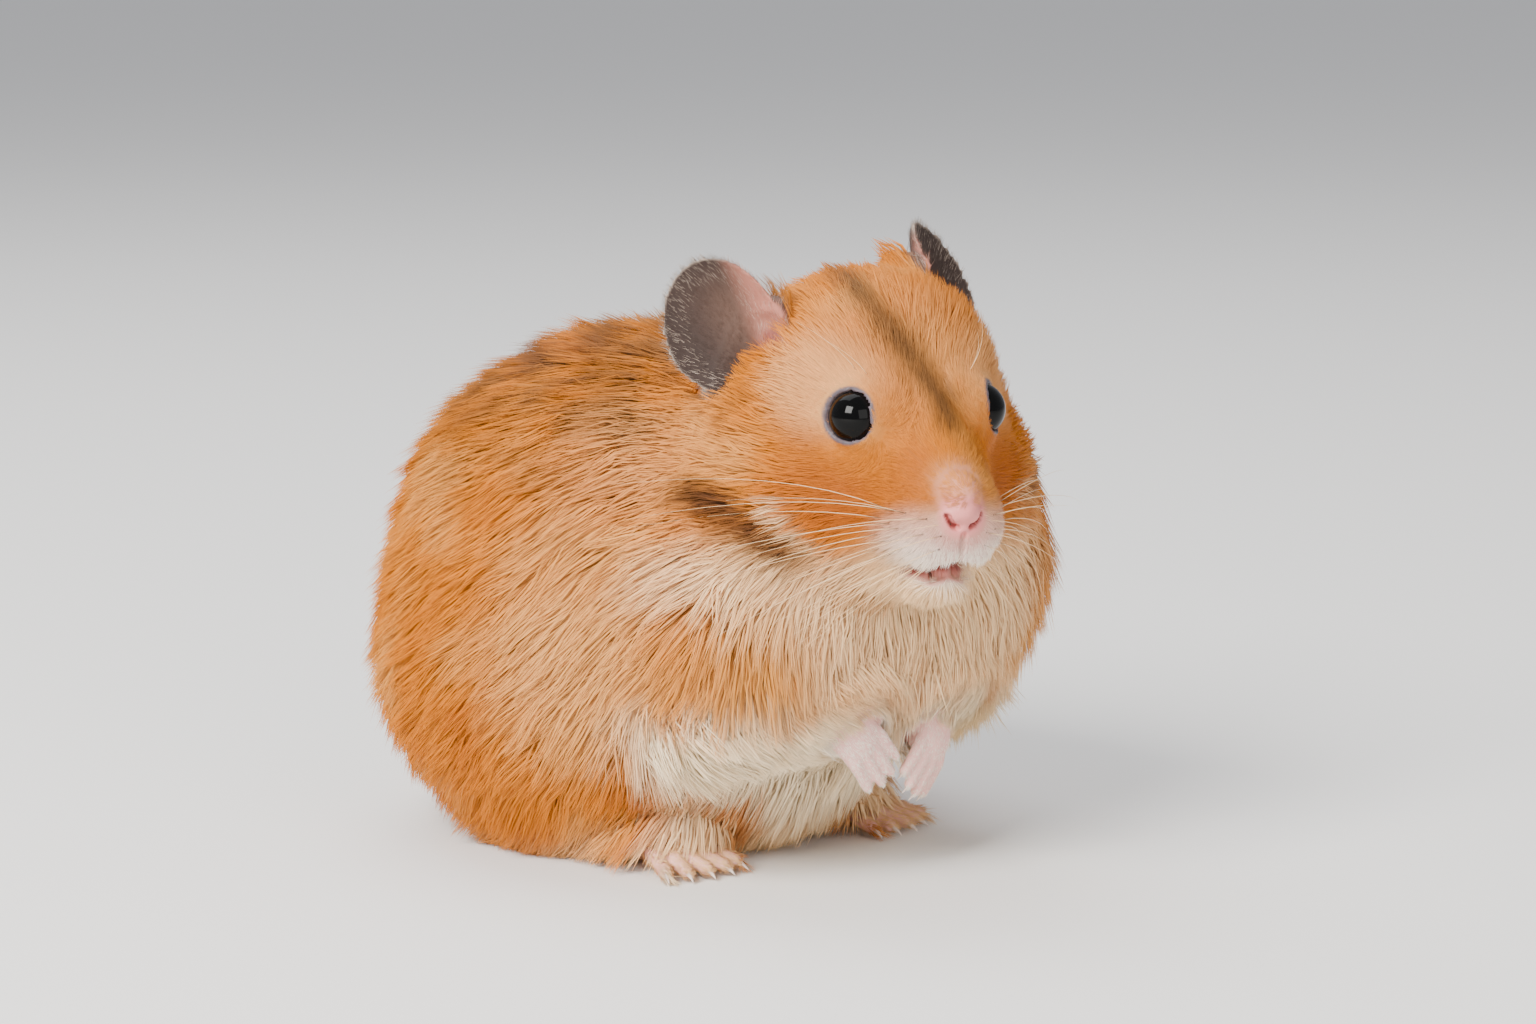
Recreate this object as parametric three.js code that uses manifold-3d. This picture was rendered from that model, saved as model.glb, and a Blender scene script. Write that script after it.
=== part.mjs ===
// A life-size, still model of a golden Syrian hamster, sitting hunched on its hind feet and rump
// with both forepaws held together in front of the chest, and its head turned a little to its right.
// Millimetres, +Z up, the floor at Z = 0, the animal facing -Y, its right side on -X.
// The surfaces are those of the coat's tips. The body is modelled whole, as rounded masses blended
// into one another, and then parted into its anatomical nodes by thin cuts.

import * as THREE from "three";
import { mergeVertices } from "three/addons/utils/BufferGeometryUtils.js";
import Module from "manifold-3d";

const wasm = await Module();
wasm.setup();

// ---------------------------------------------------------------- driving dimensions

const GAP = 0.3; // clearance of every cut between neighbouring nodes
const TRUNK_LENGTH = 98; // rump to chest
const TRUNK_WIDTH = 75; // across the haunches
const BACK_HEIGHT = 68.5; // floor to the top of the arched back
const HEAD_LENGTH = 45; // occiput to nose, over the coat
const EYE_RADIUS = 3.4;
const EAR_HEIGHT = 19;
const EAR_WIDTH = 16;
const EAR_THICKNESS = 1.1;
const FOREPAW_LENGTH = 12;
const HIND_FOOT_LENGTH = 20;
const TAIL_LENGTH = 10;

// Edge lengths of the facets.
const TRUNK_FACET = 8;
const HEAD_FACET = 3.2;
const NECK_FACET = 7.5;
const LIMB_FACET = 6.6;
const SOLE_FACET = 3;
const TAIL_FACET = 2.6;

// How softly masses run into each other.
const BODY_BLEND = 9;
const HEAD_BLEND = 5;
const THROAT_BLEND = 5;
const SOLE_BLEND = 1.5;

// The head's place on the body: it is turned to the animal's right and nods forward.
const HEAD_PLACE = new THREE.Matrix4().multiplyMatrices(
  new THREE.Matrix4().makeTranslation(-2.7, -35, 56.9),
  new THREE.Matrix4().makeRotationFromEuler(
    new THREE.Euler(
      THREE.MathUtils.degToRad(14),
      0,
      THREE.MathUtils.degToRad(-20),
      "ZYX",
    ),
  ),
);

const LEFT = 1;
const RIGHT = -1;
const SIDES = [
  ["left", LEFT],
  ["right", RIGHT],
];

// ---------------------------------------------------------------- distance fields
// A field is a function of a point that is negative inside its shape, in millimetres.

const BODY_PLACE = new THREE.Matrix4();

// An ellipsoid, with its place given in a frame such as the head's.
function mass(centre, radii, frame = BODY_PLACE, tilt = [0, 0, 0]) {
  const own = new THREE.Matrix4()
    .makeRotationFromEuler(
      new THREE.Euler(...tilt.map(THREE.MathUtils.degToRad)),
    )
    .setPosition(...centre)
    .premultiply(frame)
    .invert();
  const local = new THREE.Vector3();
  const [a, b, c] = radii;
  return (point) => {
    local.copy(point).applyMatrix4(own);
    const near = Math.hypot(local.x / a, local.y / b, local.z / c);
    const slope = Math.hypot(
      local.x / (a * a),
      local.y / (b * b),
      local.z / (c * c),
    );
    return slope < 1e-9 ? -Math.min(a, b, c) : (near * (near - 1)) / slope;
  };
}

// A rod with round ends that tapers from one radius to another.
function limb(from, to, fromRadius, toRadius) {
  const start = new THREE.Vector3(...from);
  const along = new THREE.Vector3(...to).sub(start);
  const reach = new THREE.Vector3();
  return (point) => {
    reach.copy(point).sub(start);
    const share = THREE.MathUtils.clamp(
      reach.dot(along) / along.lengthSq(),
      0,
      1,
    );
    reach.addScaledVector(along, -share);
    return reach.length() - THREE.MathUtils.lerp(fromRadius, toRadius, share);
  };
}

// Fields joined with a fillet of about the size of softness.
function blended(softness, ...fields) {
  return (point) => {
    let depth = fields[0](point);
    for (let n = 1; n < fields.length; n++) {
      const other = fields[n](point);
      const share = Math.max(softness - Math.abs(depth - other), 0) / softness;
      depth = Math.min(depth, other) - (share * share * softness) / 4;
    }
    return depth;
  };
}

const grown = (field, by) => (point) => field(point) - by;

// A field cut off square at the sides of a box.
const clipped = (field, low, high) => (point) =>
  Math.max(
    field(point),
    low[0] - point.x,
    low[1] - point.y,
    low[2] - point.z,
    point.x - high[0],
    point.y - high[1],
    point.z - high[2],
  );

// ---------------------------------------------------------------- fields to solids

const EVENING_ROUNDS = 4;

const CORNERS = [0, 1, 2, 3, 4, 5, 6, 7].map((n) => [
  n & 1,
  (n >> 1) & 1,
  (n >> 2) & 1,
]);
const CELL_EDGES = CORNERS.flatMap((a, i) =>
  CORNERS.map((b, j) => [i, j]).filter(
    ([, j]) =>
      j > i &&
      a.reduce((sum, v, k) => sum + Math.abs(v - CORNERS[j][k]), 0) === 1,
  ),
);

// The surface of a field as a closed mesh of even quads: one vertex in each cell that the surface crosses,
// drawn onto the surface, and one quad across each cell edge that it crosses.
function wrapped(field, low, high, facet) {
  const counts = low.map((v, k) => Math.ceil((high[k] - v) / facet) + 5);
  const origin = low.map((v) => v - 2 * facet);
  const at = (i, j, k) => i + counts[0] * (j + counts[1] * k);
  const point = new THREE.Vector3();
  const placed = (i, j, k) =>
    point.set(
      origin[0] + i * facet,
      origin[1] + j * facet,
      origin[2] + k * facet,
    );
  const inside = clipped(field, low, high);
  const values = new Float64Array(counts[0] * counts[1] * counts[2]);
  for (let k = 0; k < counts[2]; k++)
    for (let j = 0; j < counts[1]; j++)
      for (let i = 0; i < counts[0]; i++)
        values[at(i, j, k)] = inside(placed(i, j, k));

  const vertexOf = new Map();
  const positions = [];
  for (let k = 0; k < counts[2] - 1; k++)
    for (let j = 0; j < counts[1] - 1; j++)
      for (let i = 0; i < counts[0] - 1; i++) {
        const corner = CORNERS.map(
          ([x, y, z]) => values[at(i + x, j + y, k + z)],
        );
        const mean = new THREE.Vector3();
        let crossings = 0;
        for (const [a, b] of CELL_EDGES) {
          if (corner[a] < 0 === corner[b] < 0) continue;
          const share = corner[a] / (corner[a] - corner[b]);
          mean.add(
            new THREE.Vector3(...CORNERS[a]).lerp(
              new THREE.Vector3(...CORNERS[b]),
              share,
            ),
          );
          crossings++;
        }
        if (!crossings) continue;
        mean.divideScalar(crossings).multiplyScalar(facet);
        vertexOf.set(at(i, j, k), positions.length / 3);
        positions.push(...mean.add(placed(i, j, k)).toArray());
      }

  const quads = [];
  const beside = new Map();
  const steps = [1, counts[0], counts[0] * counts[1]];
  for (let k = 1; k < counts[2] - 1; k++)
    for (let j = 1; j < counts[1] - 1; j++)
      for (let i = 1; i < counts[0] - 1; i++)
        for (let axis = 0; axis < 3; axis++) {
          const here = at(i, j, k);
          const from = values[here] < 0;
          if (from === values[here + steps[axis]] < 0) continue;
          const [u, v] = [steps[(axis + 1) % 3], steps[(axis + 2) % 3]];
          const ring = [here - u - v, here - v, here, here - u].map((cell) =>
            vertexOf.get(cell),
          );
          if (!from) ring.reverse();
          ring.forEach((vertex, n) => {
            if (!beside.has(vertex)) beside.set(vertex, new Set());
            beside.get(vertex).add(ring[(n + 1) % 4]).add(ring[(n + 3) % 4]);
          });
          quads.push(ring);
        }
  for (let round = 0; round < EVENING_ROUNDS; round++) {
    evenOut(positions, beside);
    drawOnto(inside, positions, facet);
  }
  return new wasm.Manifold(
    new wasm.Mesh({
      numProp: 3,
      vertProperties: new Float32Array(positions),
      triVerts: new Uint32Array(quads.flatMap((ring) => split(ring, positions))),
    }),
  );
}

// A quad's two triangles, on either side of its shorter diagonal.
function split([a, b, c, d], positions) {
  const spot = (n) => new THREE.Vector3().fromArray(positions, 3 * n);
  const short = spot(a).distanceTo(spot(c)) < spot(b).distanceTo(spot(d));
  return short ? [a, b, c, a, c, d] : [b, c, d, b, d, a];
}

// Moves each vertex half-way to the middle of its neighbours.
function evenOut(positions, beside) {
  const before = positions.slice();
  for (const [vertex, others] of beside)
    for (let k = 0; k < 3; k++) {
      let sum = 0;
      for (const other of others) sum += before[3 * other + k];
      const here = before[3 * vertex + k];
      positions[3 * vertex + k] = (here + sum / others.size) / 2;
    }
}

// Moves each vertex along the field's slope until it lies on the surface.
function drawOnto(field, positions, facet) {
  const probe = facet / 20;
  const rounds = 2;
  const point = new THREE.Vector3();
  const slope = new THREE.Vector3();
  const value = (dx, dy, dz) =>
    field(new THREE.Vector3(point.x + dx, point.y + dy, point.z + dz));
  for (let n = 0; n < positions.length; n += 3)
    for (let round = 0; round < rounds; round++) {
      point.fromArray(positions, n);
      slope.set(
        value(probe, 0, 0) - value(-probe, 0, 0),
        value(0, probe, 0) - value(0, -probe, 0),
        value(0, 0, probe) - value(0, 0, -probe),
      );
      slope.divideScalar(2 * probe);
      const steep = Math.max(slope.lengthSq(), 0.25);
      const reach = THREE.MathUtils.clamp(
        field(point) / steep,
        -facet / 2,
        facet / 2,
      );
      point.addScaledVector(slope, -reach).toArray(positions, n);
    }
}

function solidOf(geometry) {
  const bare = geometry.clone();
  bare.deleteAttribute("normal");
  bare.deleteAttribute("uv");
  const merged = mergeVertices(bare, 1e-4);
  return new wasm.Manifold(
    new wasm.Mesh({
      numProp: 3,
      vertProperties: new Float32Array(merged.attributes.position.array),
      triVerts: new Uint32Array(merged.index.array),
    }),
  );
}

function geometryOf(solid) {
  const mesh = solid.getMesh();
  const geometry = new THREE.BufferGeometry();
  geometry.setAttribute(
    "position",
    new THREE.BufferAttribute(mesh.vertProperties.slice(), 3),
  );
  geometry.setIndex(new THREE.BufferAttribute(mesh.triVerts.slice(), 1));
  geometry.computeVertexNormals();
  return geometry;
}

// A plain round cutter or eyeball: an ellipsoid of the given radii, in a frame.
function round(
  centre,
  radii,
  { frame = BODY_PLACE, detail = 4, by = 0 } = {},
) {
  const geometry = new THREE.IcosahedronGeometry(1, detail);
  geometry.scale(...radii.map((r) => r + by));
  geometry.translate(...centre);
  geometry.applyMatrix4(frame);
  return solidOf(geometry);
}

// The largest body of a solid, without the crumbs that a cut can leave.
function largest(solid) {
  return solid
    .decompose()
    .reduce((a, b) => (b.volume() > a.volume() ? b : a));
}

// ---------------------------------------------------------------- the masses of the body

const HALF_LENGTH = TRUNK_LENGTH / 2;
const HALF_WIDTH = TRUNK_WIDTH / 2;

const ELBOW = [22, -22, 22];
const WRIST = [9.5, -34.5, 21.5];
const FINGERTIPS = [3.9, -37.5, 13];
const PAW_STAGGER = 1.1; // the right forepaw is held higher than the left by twice this
const PAWS_ASIDE = -1.2; // both forepaws are held a little to the animal's right
const HEEL = [15, -1, 2.3];

const mirrored = ([x, y, z], side) => [x * side, y, z];
const staggered = ([x, y, z], side) => [
  x * side + PAWS_ASIDE,
  y,
  z - PAW_STAGGER * side,
];

function trunkMasses() {
  const both = SIDES.flatMap(([, side]) => [
    // haunch: thigh and bent knee
    mass(mirrored([19, 8, 22], side), [HALF_WIDTH - 19, 26.5, 21.5]),
    // shoulder and upper arm
    mass(mirrored([18, -24, 32], side), [14, 16, 18]),
  ]);
  return [
    mass([0, 3, 35.5], [32, HALF_LENGTH - 11, BACK_HEIGHT - 36]),
    mass([0, 19.5, 25], [30, HALF_LENGTH - 22, 25]),
    // the full curve from the back down to the rump
    mass([0, 9, 41], [31, 33, 22.5]),
    // chest, and belly down to the floor
    mass([0, -22, 36], [24, 20, 20]),
    mass([0, -7, 18], [25, 23, 17]),
    ...both,
  ];
}

function headMasses() {
  const front = -(HEAD_LENGTH - 20);
  const both = SIDES.flatMap(([, side]) => [
    // cheek
    mass([9.5 * side, 0, -6.5], [10.5, 12, 10], HEAD_PLACE),
    // jowl over the cheek pouch
    mass([12.5 * side, 8, -9], [11, 12, 11.5], HEAD_PLACE),
    // whisker pad
    mass([3.7 * side, front + 7.4, -6.2], [4.6, 5.8, 4.4], HEAD_PLACE),
  ]);
  return [
    mass([0, 6.5, 4.6], [18.6, 16.8, 16.8], HEAD_PLACE),
    mass([0, -8, 0], [8, 12, 9], HEAD_PLACE),
    mass([0, front + 10.5, -3.4], [6.4, 9, 5.6], HEAD_PLACE),
    // lower jaw
    mass([0, -11.8, -11.3], [6.3, 9.6, 4.9], HEAD_PLACE),
    ...both,
  ];
}

// Forearms, from the elbows at the flanks to the wrists in front of the chest.
const forearmField = (side) =>
  limb(mirrored(ELBOW, side), staggered(WRIST, side), 7.5, 3.2);

const trunkField = blended(BODY_BLEND, ...trunkMasses());
const neckField = mass([6, -26, 44], [26, 20.5, 21]);
const headField = blended(HEAD_BLEND, ...headMasses());
const bodyField = blended(
  THROAT_BLEND,
  blended(BODY_BLEND, trunkField, neckField),
  headField,
  ...SIDES.map(([, side]) => forearmField(side)),
);

const BODY_LOW = [-HALF_WIDTH - 4, -72, -6];
const BODY_HIGH = [HALF_WIDTH + 4, HALF_LENGTH + 4, 90];

const aboveFloor = (solid) => {
  const floor = new THREE.BoxGeometry(300, 300, 100).translate(0, 0, -50);
  return solid.subtract(solidOf(floor));
};

// ---------------------------------------------------------------- regions of the nodes

const HEAD_REGION = [
  [0, -6, 2.5],
  [27, 23.5, 22.5],
];
const NECK_REGION = [
  [0, 3, -2],
  [33, 27, 26],
];
const HAUNCH_REGION = [
  [26, 6, 18],
  [20, 24, 20],
];
const SHOULDER_REGION = [
  [25, -24, 28],
  [15, 14, 17],
];
const SLEEVE_SPARE = 3; // how far the cut about the forearm goes past the elbow and the wrist

const headRegion = (by = 0) =>
  round(...HEAD_REGION, { frame: HEAD_PLACE, detail: 2, by });
const neckRegion = (by = 0) =>
  round(...NECK_REGION, { frame: HEAD_PLACE, detail: 2, by });
const sideRegion = ([centre, radii], side, by = 0) =>
  round(mirrored(centre, side), radii, { detail: 2, by });

// ---------------------------------------------------------------- limbs

const CLAW_LENGTH = 1.6;
const DIGIT_SIDES = 5;

// A closed tube through a row of points, with a radius at each.
function tube(points, radii) {
  const ring = [];
  const ahead = points.at(-1).clone().sub(points[0]).normalize();
  const across = new THREE.Vector3(-ahead.y, ahead.x, 0).normalize();
  const over = new THREE.Vector3().crossVectors(ahead, across);
  points.forEach((point, n) => {
    for (let side = 0; side < DIGIT_SIDES; side++) {
      const turn = (2 * Math.PI * side) / DIGIT_SIDES;
      ring.push(
        ...point
          .clone()
          .addScaledVector(across, radii[n] * Math.cos(turn))
          .addScaledVector(over, radii[n] * Math.sin(turn)),
      );
    }
  });
  const last = DIGIT_SIDES * (points.length - 1);
  const faces = [];
  for (let side = 0; side < DIGIT_SIDES; side++) {
    const next = (side + 1) % DIGIT_SIDES;
    for (let from = 0; from < last; from += DIGIT_SIDES) {
      const [a, b] = [from + side, from + next];
      faces.push(a, b, b + DIGIT_SIDES, a, b + DIGIT_SIDES, a + DIGIT_SIDES);
    }
    if (side > 0 && next > 0)
      faces.push(0, next, side, last, last + side, last + next);
  }
  return new wasm.Manifold(
    new wasm.Mesh({
      numProp: 3,
      vertProperties: new Float32Array(ring),
      triVerts: new Uint32Array(faces),
    }),
  );
}

// Slender bent digits that fan out from the front of a palm, each ending in a claw.
function digits({ frame, count, fan, root, length, thickness, droop, side }) {
  const middle = (count - 1) / 2;
  const radius = thickness / 2;
  const fingers = [];
  for (let n = 0; n < count; n++) {
    const off = (n - middle) / middle;
    const turn = THREE.MathUtils.degToRad(fan * off) * side;
    const reach = length * (1 - 0.16 * off * off);
    const start = new THREE.Vector3(root.half * off * side, -root.front, 0);
    const ahead = new THREE.Vector3(Math.sin(turn), -Math.cos(turn), 0);
    const joint = (share, drop) =>
      start
        .clone()
        .addScaledVector(ahead, share)
        .add(new THREE.Vector3(0, 0, -drop))
        .applyMatrix4(frame);
    fingers.push(
      tube(
        [
          joint(-1.5, 0),
          joint(reach * 0.5, -thickness * 0.25),
          joint(reach, droop),
          joint(reach + CLAW_LENGTH, droop * 1.5),
        ],
        [radius * 1.05, radius, radius * 0.85, radius * 0.15],
      ),
    );
  }
  return fingers;
}

// A frame whose -Y runs from one point to another, and whose +Z leans towards a given side.
function pointing(from, to, towards) {
  const back = new THREE.Vector3(...from)
    .sub(new THREE.Vector3(...to))
    .normalize();
  const across = new THREE.Vector3()
    .crossVectors(back, new THREE.Vector3(...towards))
    .normalize();
  const up = new THREE.Vector3().crossVectors(across, back);
  return new THREE.Matrix4().makeBasis(across, back, up).setPosition(...from);
}

const forepawFrame = (side) =>
  pointing(
    staggered(WRIST, side),
    staggered(FINGERTIPS, side),
    mirrored([0.45, -1, 0.35], side),
  );

function forepawSolid(side) {
  const frame = forepawFrame(side);
  const palm = round([0, -4, 0], [3.8, 4.6, 2.5], { frame, detail: 1 });
  const thumb = round([-3.1 * side, -3.8, -0.9], [1.2, 1.8, 1.1], {
    frame,
    detail: 1,
  });
  const fingers = digits({
    frame,
    count: 4,
    fan: 15,
    root: { half: 2.6, front: 6.2 },
    length: FOREPAW_LENGTH - 7,
    thickness: 1.85,
    droop: 0.8,
    side,
  });
  return fingers.reduce((paw, finger) => paw.add(finger), palm.add(thumb));
}

// The hollow in the wrist and the chest that a forepaw sits in.
const forepawRoom = (side) =>
  round([0, -5.5, 0], [5.2, 8, 3.6], { frame: forepawFrame(side), detail: 1 });

const hindFootFrame = (side) =>
  new THREE.Matrix4()
    .makeRotationZ(THREE.MathUtils.degToRad(9 * side))
    .setPosition(...mirrored(HEEL, side));

function hindFootSolid(side) {
  const frame = hindFootFrame(side);
  const sole = blended(
    SOLE_BLEND,
    mass([0, 0, 0], [3.2, 4, 3], frame),
    mass([0, -6, -0.2], [3.4, 6.5, 2.8], frame),
    mass([0, -11.5, -0.6], [4.4, 4, 2.4], frame),
  );
  const middle = [HEEL[0] * side, HEEL[1] - 7, 3];
  const toes = digits({
    frame,
    count: 5,
    fan: 20,
    root: { half: 3.6, front: HIND_FOOT_LENGTH - 7 },
    length: 6.2,
    thickness: 2.1,
    droop: 1.1,
    side,
  });
  return aboveFloor(
    toes.reduce(
      (foot, toe) => foot.add(toe),
      wrapped(sole, ...boundsOf(middle, 13), SOLE_FACET),
    ),
  );
}

// The hollow under the haunch and the belly that a hind foot stands in.
function hindFootRoom(side) {
  const frame = hindFootFrame(side);
  const heel = round([0, -5, 0], [5.4, 11, 4.4], { frame, detail: 1 });
  const toes = round([0, -16, -1], [8.4, 10, 4.8], { frame, detail: 1 });
  return heel.add(toes);
}

// ---------------------------------------------------------------- ears, tail, nose

// Each ear's root on the skull, the way that it stands from there and the way that its hollow
// faces. The left ear is pricked and the right one is laid out a little.
const EARS = {
  left: {
    root: [12.5, 9.5, 6.2],
    stands: [-0.15, 0.6, 0.8],
    faces: [0.7, -0.65, 0.25],
  },
  right: {
    root: [-13, 7.5, 5],
    stands: [-0.43, 0.55, 0.71],
    faces: [-0.75, -0.6, 0.1],
  },
};
const EAR_HOLLOW = 4.5;
const EAR_ROOT_DEPTH = 3;

// A thin round pinna: a flattened ball, bent into a bowl and narrowed towards its root.
function earSolid({ root, stands, faces }) {
  const shell = new THREE.SphereGeometry(1, 16, 8).rotateX(Math.PI / 2);
  const spots = shell.attributes.position;
  const along = new THREE.Vector3(...stands).normalize();
  const facing = new THREE.Vector3(...faces);
  facing.addScaledVector(along, -facing.dot(along)).normalize();
  const across = new THREE.Vector3().crossVectors(along, facing);
  for (let n = 0; n < spots.count; n++) {
    const [a, b, c] = [spots.getX(n), spots.getY(n), spots.getZ(n)];
    const rise = (b + 1) / 2;
    const narrowing =
      0.68 + 0.32 * Math.sin((Math.PI / 2) * Math.min(rise / 0.5, 1));
    const bowl = EAR_HOLLOW * (a * a * 0.7 + (rise - 0.5) ** 2 * 1.3);
    const place = new THREE.Vector3(...root)
      .addScaledVector(across, (a * narrowing * EAR_WIDTH) / 2)
      .addScaledVector(along, rise * EAR_HEIGHT - EAR_ROOT_DEPTH)
      .addScaledVector(facing, bowl + (c * EAR_THICKNESS) / 2);
    spots.setXYZ(n, ...place);
  }
  return solidOf(shell.applyMatrix4(HEAD_PLACE));
}

const NOSE_RADII = [2.5, 2.4, 2];
const NOSE_CENTRE = [0, NOSE_RADII[1] - (HEAD_LENGTH - 20), -1.6];
const EYE_CENTRE = [8.1, -8.7, 5];

const eyeSolid = (side, by = 0) =>
  round(
    mirrored(EYE_CENTRE, side),
    [EYE_RADIUS, EYE_RADIUS, EYE_RADIUS],
    { frame: HEAD_PLACE, detail: 2, by },
  );
const noseSolid = (by = 0) =>
  round(NOSE_CENTRE, NOSE_RADII, { frame: HEAD_PLACE, detail: 1, by });

function tailField() {
  const root = [0, HALF_LENGTH - 11, 9];
  const tip = [1, HALF_LENGTH - 12 + TAIL_LENGTH, 5];
  return limb(root, tip, 2.8, 1.3);
}

// ---------------------------------------------------------------- the nodes

const COAT = new THREE.MeshStandardMaterial({
  color: 0xd08a4a,
  roughness: 0.85,
  metalness: 0,
});
const BARE_SKIN = new THREE.MeshStandardMaterial({
  color: 0xe0b0a6,
  roughness: 0.6,
  metalness: 0,
});
const EAR_SKIN = new THREE.MeshStandardMaterial({
  color: 0x7d675f,
  roughness: 0.7,
  metalness: 0,
});
const EYE = new THREE.MeshStandardMaterial({
  color: 0x0a0808,
  roughness: 0.05,
  metalness: 0,
});

const hamster = new THREE.Group();

function addNode(name, solid, material) {
  const mesh = new THREE.Mesh(geometryOf(largest(solid)), material);
  mesh.name = name;
  hamster.add(mesh);
}

const whole = (facet) =>
  aboveFloor(wrapped(bodyField, BODY_LOW, BODY_HIGH, facet));

function boundsOf(centre, reach) {
  return [centre.map((v) => v - reach), centre.map((v) => v + reach)];
}

function addHead() {
  const centre = new THREE.Vector3().applyMatrix4(HEAD_PLACE).toArray();
  const fine = wrapped(bodyField, ...boundsOf(centre, 34), HEAD_FACET);
  let head = fine.intersect(headRegion()).subtract(noseSolid(GAP));
  for (const [name, side] of SIDES) {
    head = head.subtract(eyeSolid(side, GAP));
    addNode(`eye_${name}`, eyeSolid(side), EYE);
    const ear = earSolid(EARS[name]).subtract(
      wrapped(grown(bodyField, 2 * GAP), ...boundsOf(centre, 30), HEAD_FACET),
    );
    addNode(`ear_${name}`, ear, EAR_SKIN);
  }
  addNode("head", head, COAT);
  addNode("nose", noseSolid(), BARE_SKIN);
}

function addNeck() {
  const neck = whole(NECK_FACET)
    .intersect(neckRegion())
    .subtract(headRegion(GAP));
  addNode("neck", neck, COAT);
}

// The room that a foreleg takes up in the body: a shoulder, and a tapering sleeve about the forearm.
function forelegRegion(side, by = 0) {
  const frame = pointing(
    mirrored(ELBOW, side),
    staggered(WRIST, side),
    [0, 0, 1],
  );
  const length = new THREE.Vector3(...mirrored(ELBOW, side)).distanceTo(
    new THREE.Vector3(...staggered(WRIST, side)),
  );
  const reach = length + 2 * SLEEVE_SPARE + 2 * by;
  const sleeve = new THREE.CylinderGeometry(10.5 + by, 6 + by, reach, 10)
    .translate(0, -length / 2, 0)
    .applyMatrix4(frame);
  return sideRegion(SHOULDER_REGION, side, by).add(solidOf(sleeve));
}

// Forelegs, hind legs and tail, and what each leaves out of the trunk.
function addLimbs() {
  const body = whole(LIMB_FACET).subtract(neckRegion(GAP));
  const hollows = [];
  for (const [name, side] of SIDES) {
    const pawRoom = forepawRoom(side);
    const footRoom = hindFootRoom(side);
    const foreleg = body
      .intersect(forelegRegion(side))
      .subtract(sideRegion(HAUNCH_REGION, side, GAP))
      .subtract(pawRoom);
    const hindLeg = body
      .intersect(sideRegion(HAUNCH_REGION, side))
      .subtract(footRoom);
    addNode(`foreleg_${name}`, foreleg, COAT);
    addNode(`forepaw_${name}`, forepawSolid(side), BARE_SKIN);
    addNode(`hindleg_${name}`, hindLeg, COAT);
    addNode(`hindfoot_${name}`, hindFootSolid(side), BARE_SKIN);
    hollows.push(
      forelegRegion(side, GAP),
      sideRegion(HAUNCH_REGION, side, GAP),
      pawRoom,
      footRoom,
    );
  }
  const tailBox = boundsOf([0, HALF_LENGTH - 4, 6], 12);
  addNode(
    "tail",
    aboveFloor(wrapped(tailField(), ...tailBox, TAIL_FACET)),
    BARE_SKIN,
  );
  hollows.push(wrapped(grown(tailField(), GAP), ...tailBox, TAIL_FACET));
  return hollows;
}

function addTrunk(hollows) {
  let trunk = whole(TRUNK_FACET).subtract(neckRegion(GAP));
  for (const hollow of hollows) trunk = trunk.subtract(hollow);
  addNode("trunk", trunk, COAT);
}

addHead();
addNeck();
addTrunk(addLimbs());

export default hamster;
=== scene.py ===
# A golden Syrian hamster at life size, sitting hunched with its forepaws together: one skin with its
# nose, lids, lips, ears, paws and tail, a coat of real tufts over it, eyes, claws and whiskers.
import math

import bmesh
import bpy
import numpy as np
from mathutils import Matrix, Vector, kdtree, noise
from mathutils.bvhtree import BVHTree


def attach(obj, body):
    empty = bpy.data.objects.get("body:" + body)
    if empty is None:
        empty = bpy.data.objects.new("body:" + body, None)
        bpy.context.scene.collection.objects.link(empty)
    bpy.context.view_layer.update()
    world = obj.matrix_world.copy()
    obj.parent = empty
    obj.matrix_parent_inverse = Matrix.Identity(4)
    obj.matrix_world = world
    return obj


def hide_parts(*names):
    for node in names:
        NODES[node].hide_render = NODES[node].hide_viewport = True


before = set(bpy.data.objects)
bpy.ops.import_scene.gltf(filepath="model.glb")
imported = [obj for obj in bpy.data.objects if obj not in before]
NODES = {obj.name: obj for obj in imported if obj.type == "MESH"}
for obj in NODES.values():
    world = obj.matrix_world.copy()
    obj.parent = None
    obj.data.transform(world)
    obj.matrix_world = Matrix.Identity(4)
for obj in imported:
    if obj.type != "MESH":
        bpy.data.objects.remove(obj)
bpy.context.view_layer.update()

MM = 0.001  # the shapes are worked in millimetres and finished in metres
SIDES = (("left", 1), ("right", -1))
QUICK_SHARE = 1.0
dice = np.random.default_rng(20)

# ---- sizes, in millimetres

EYE_RADIUS = 3.4
EYE_CENTRE = (8.1, -8.7, 5.0)
EYE_LOOKS = (0.83, -0.46, 0.31)
EYE_OPENING = 2.95
LID_HEIGHT = math.sqrt(EYE_RADIUS**2 - EYE_OPENING**2) + 0.12
LID_THICKNESS = 0.3
LID_MOUNDS = ((3.5, 0.65, 0.45), (4.2, 1.6, 0.8), (5.1, 3.5, 1.3))  # rings: reach, depth and thickness
EYE_BLENDS = ((3.9, 8.5, 24), (3.8, 10.5, 6))  # smoothed from, smoothed to, and how many times
EAR_HEIGHT = 19.0
EAR_WIDTH = 16.0
EAR_THICKNESS = 0.95
EAR_HOLLOW = 4.5
EAR_ROLL = 0.35  # how far the rim turns over
EAR_ROLL_START = 0.86  # as a share of the way out to the rim
EAR_ROOT_WIDTH = 0.68  # as a share of the full width
EAR_ROOT_DEPTH = 3.0
ELBOW = (22.0, -22.0, 22.0)
WRIST = (9.5, -34.5, 21.5)
FINGERTIPS = (3.1, -37.9, 13.0)
PAW_STAGGER = 1.1
PAWS_ASIDE = -1.2
HEEL = (15.0, -1.0, 2.3)
HIND_FOOT_LENGTH = 20.0
FOREPAW_LENGTH = 12.0
HIND_CLAW = 1.6
FORE_CLAW = 1.0
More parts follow.
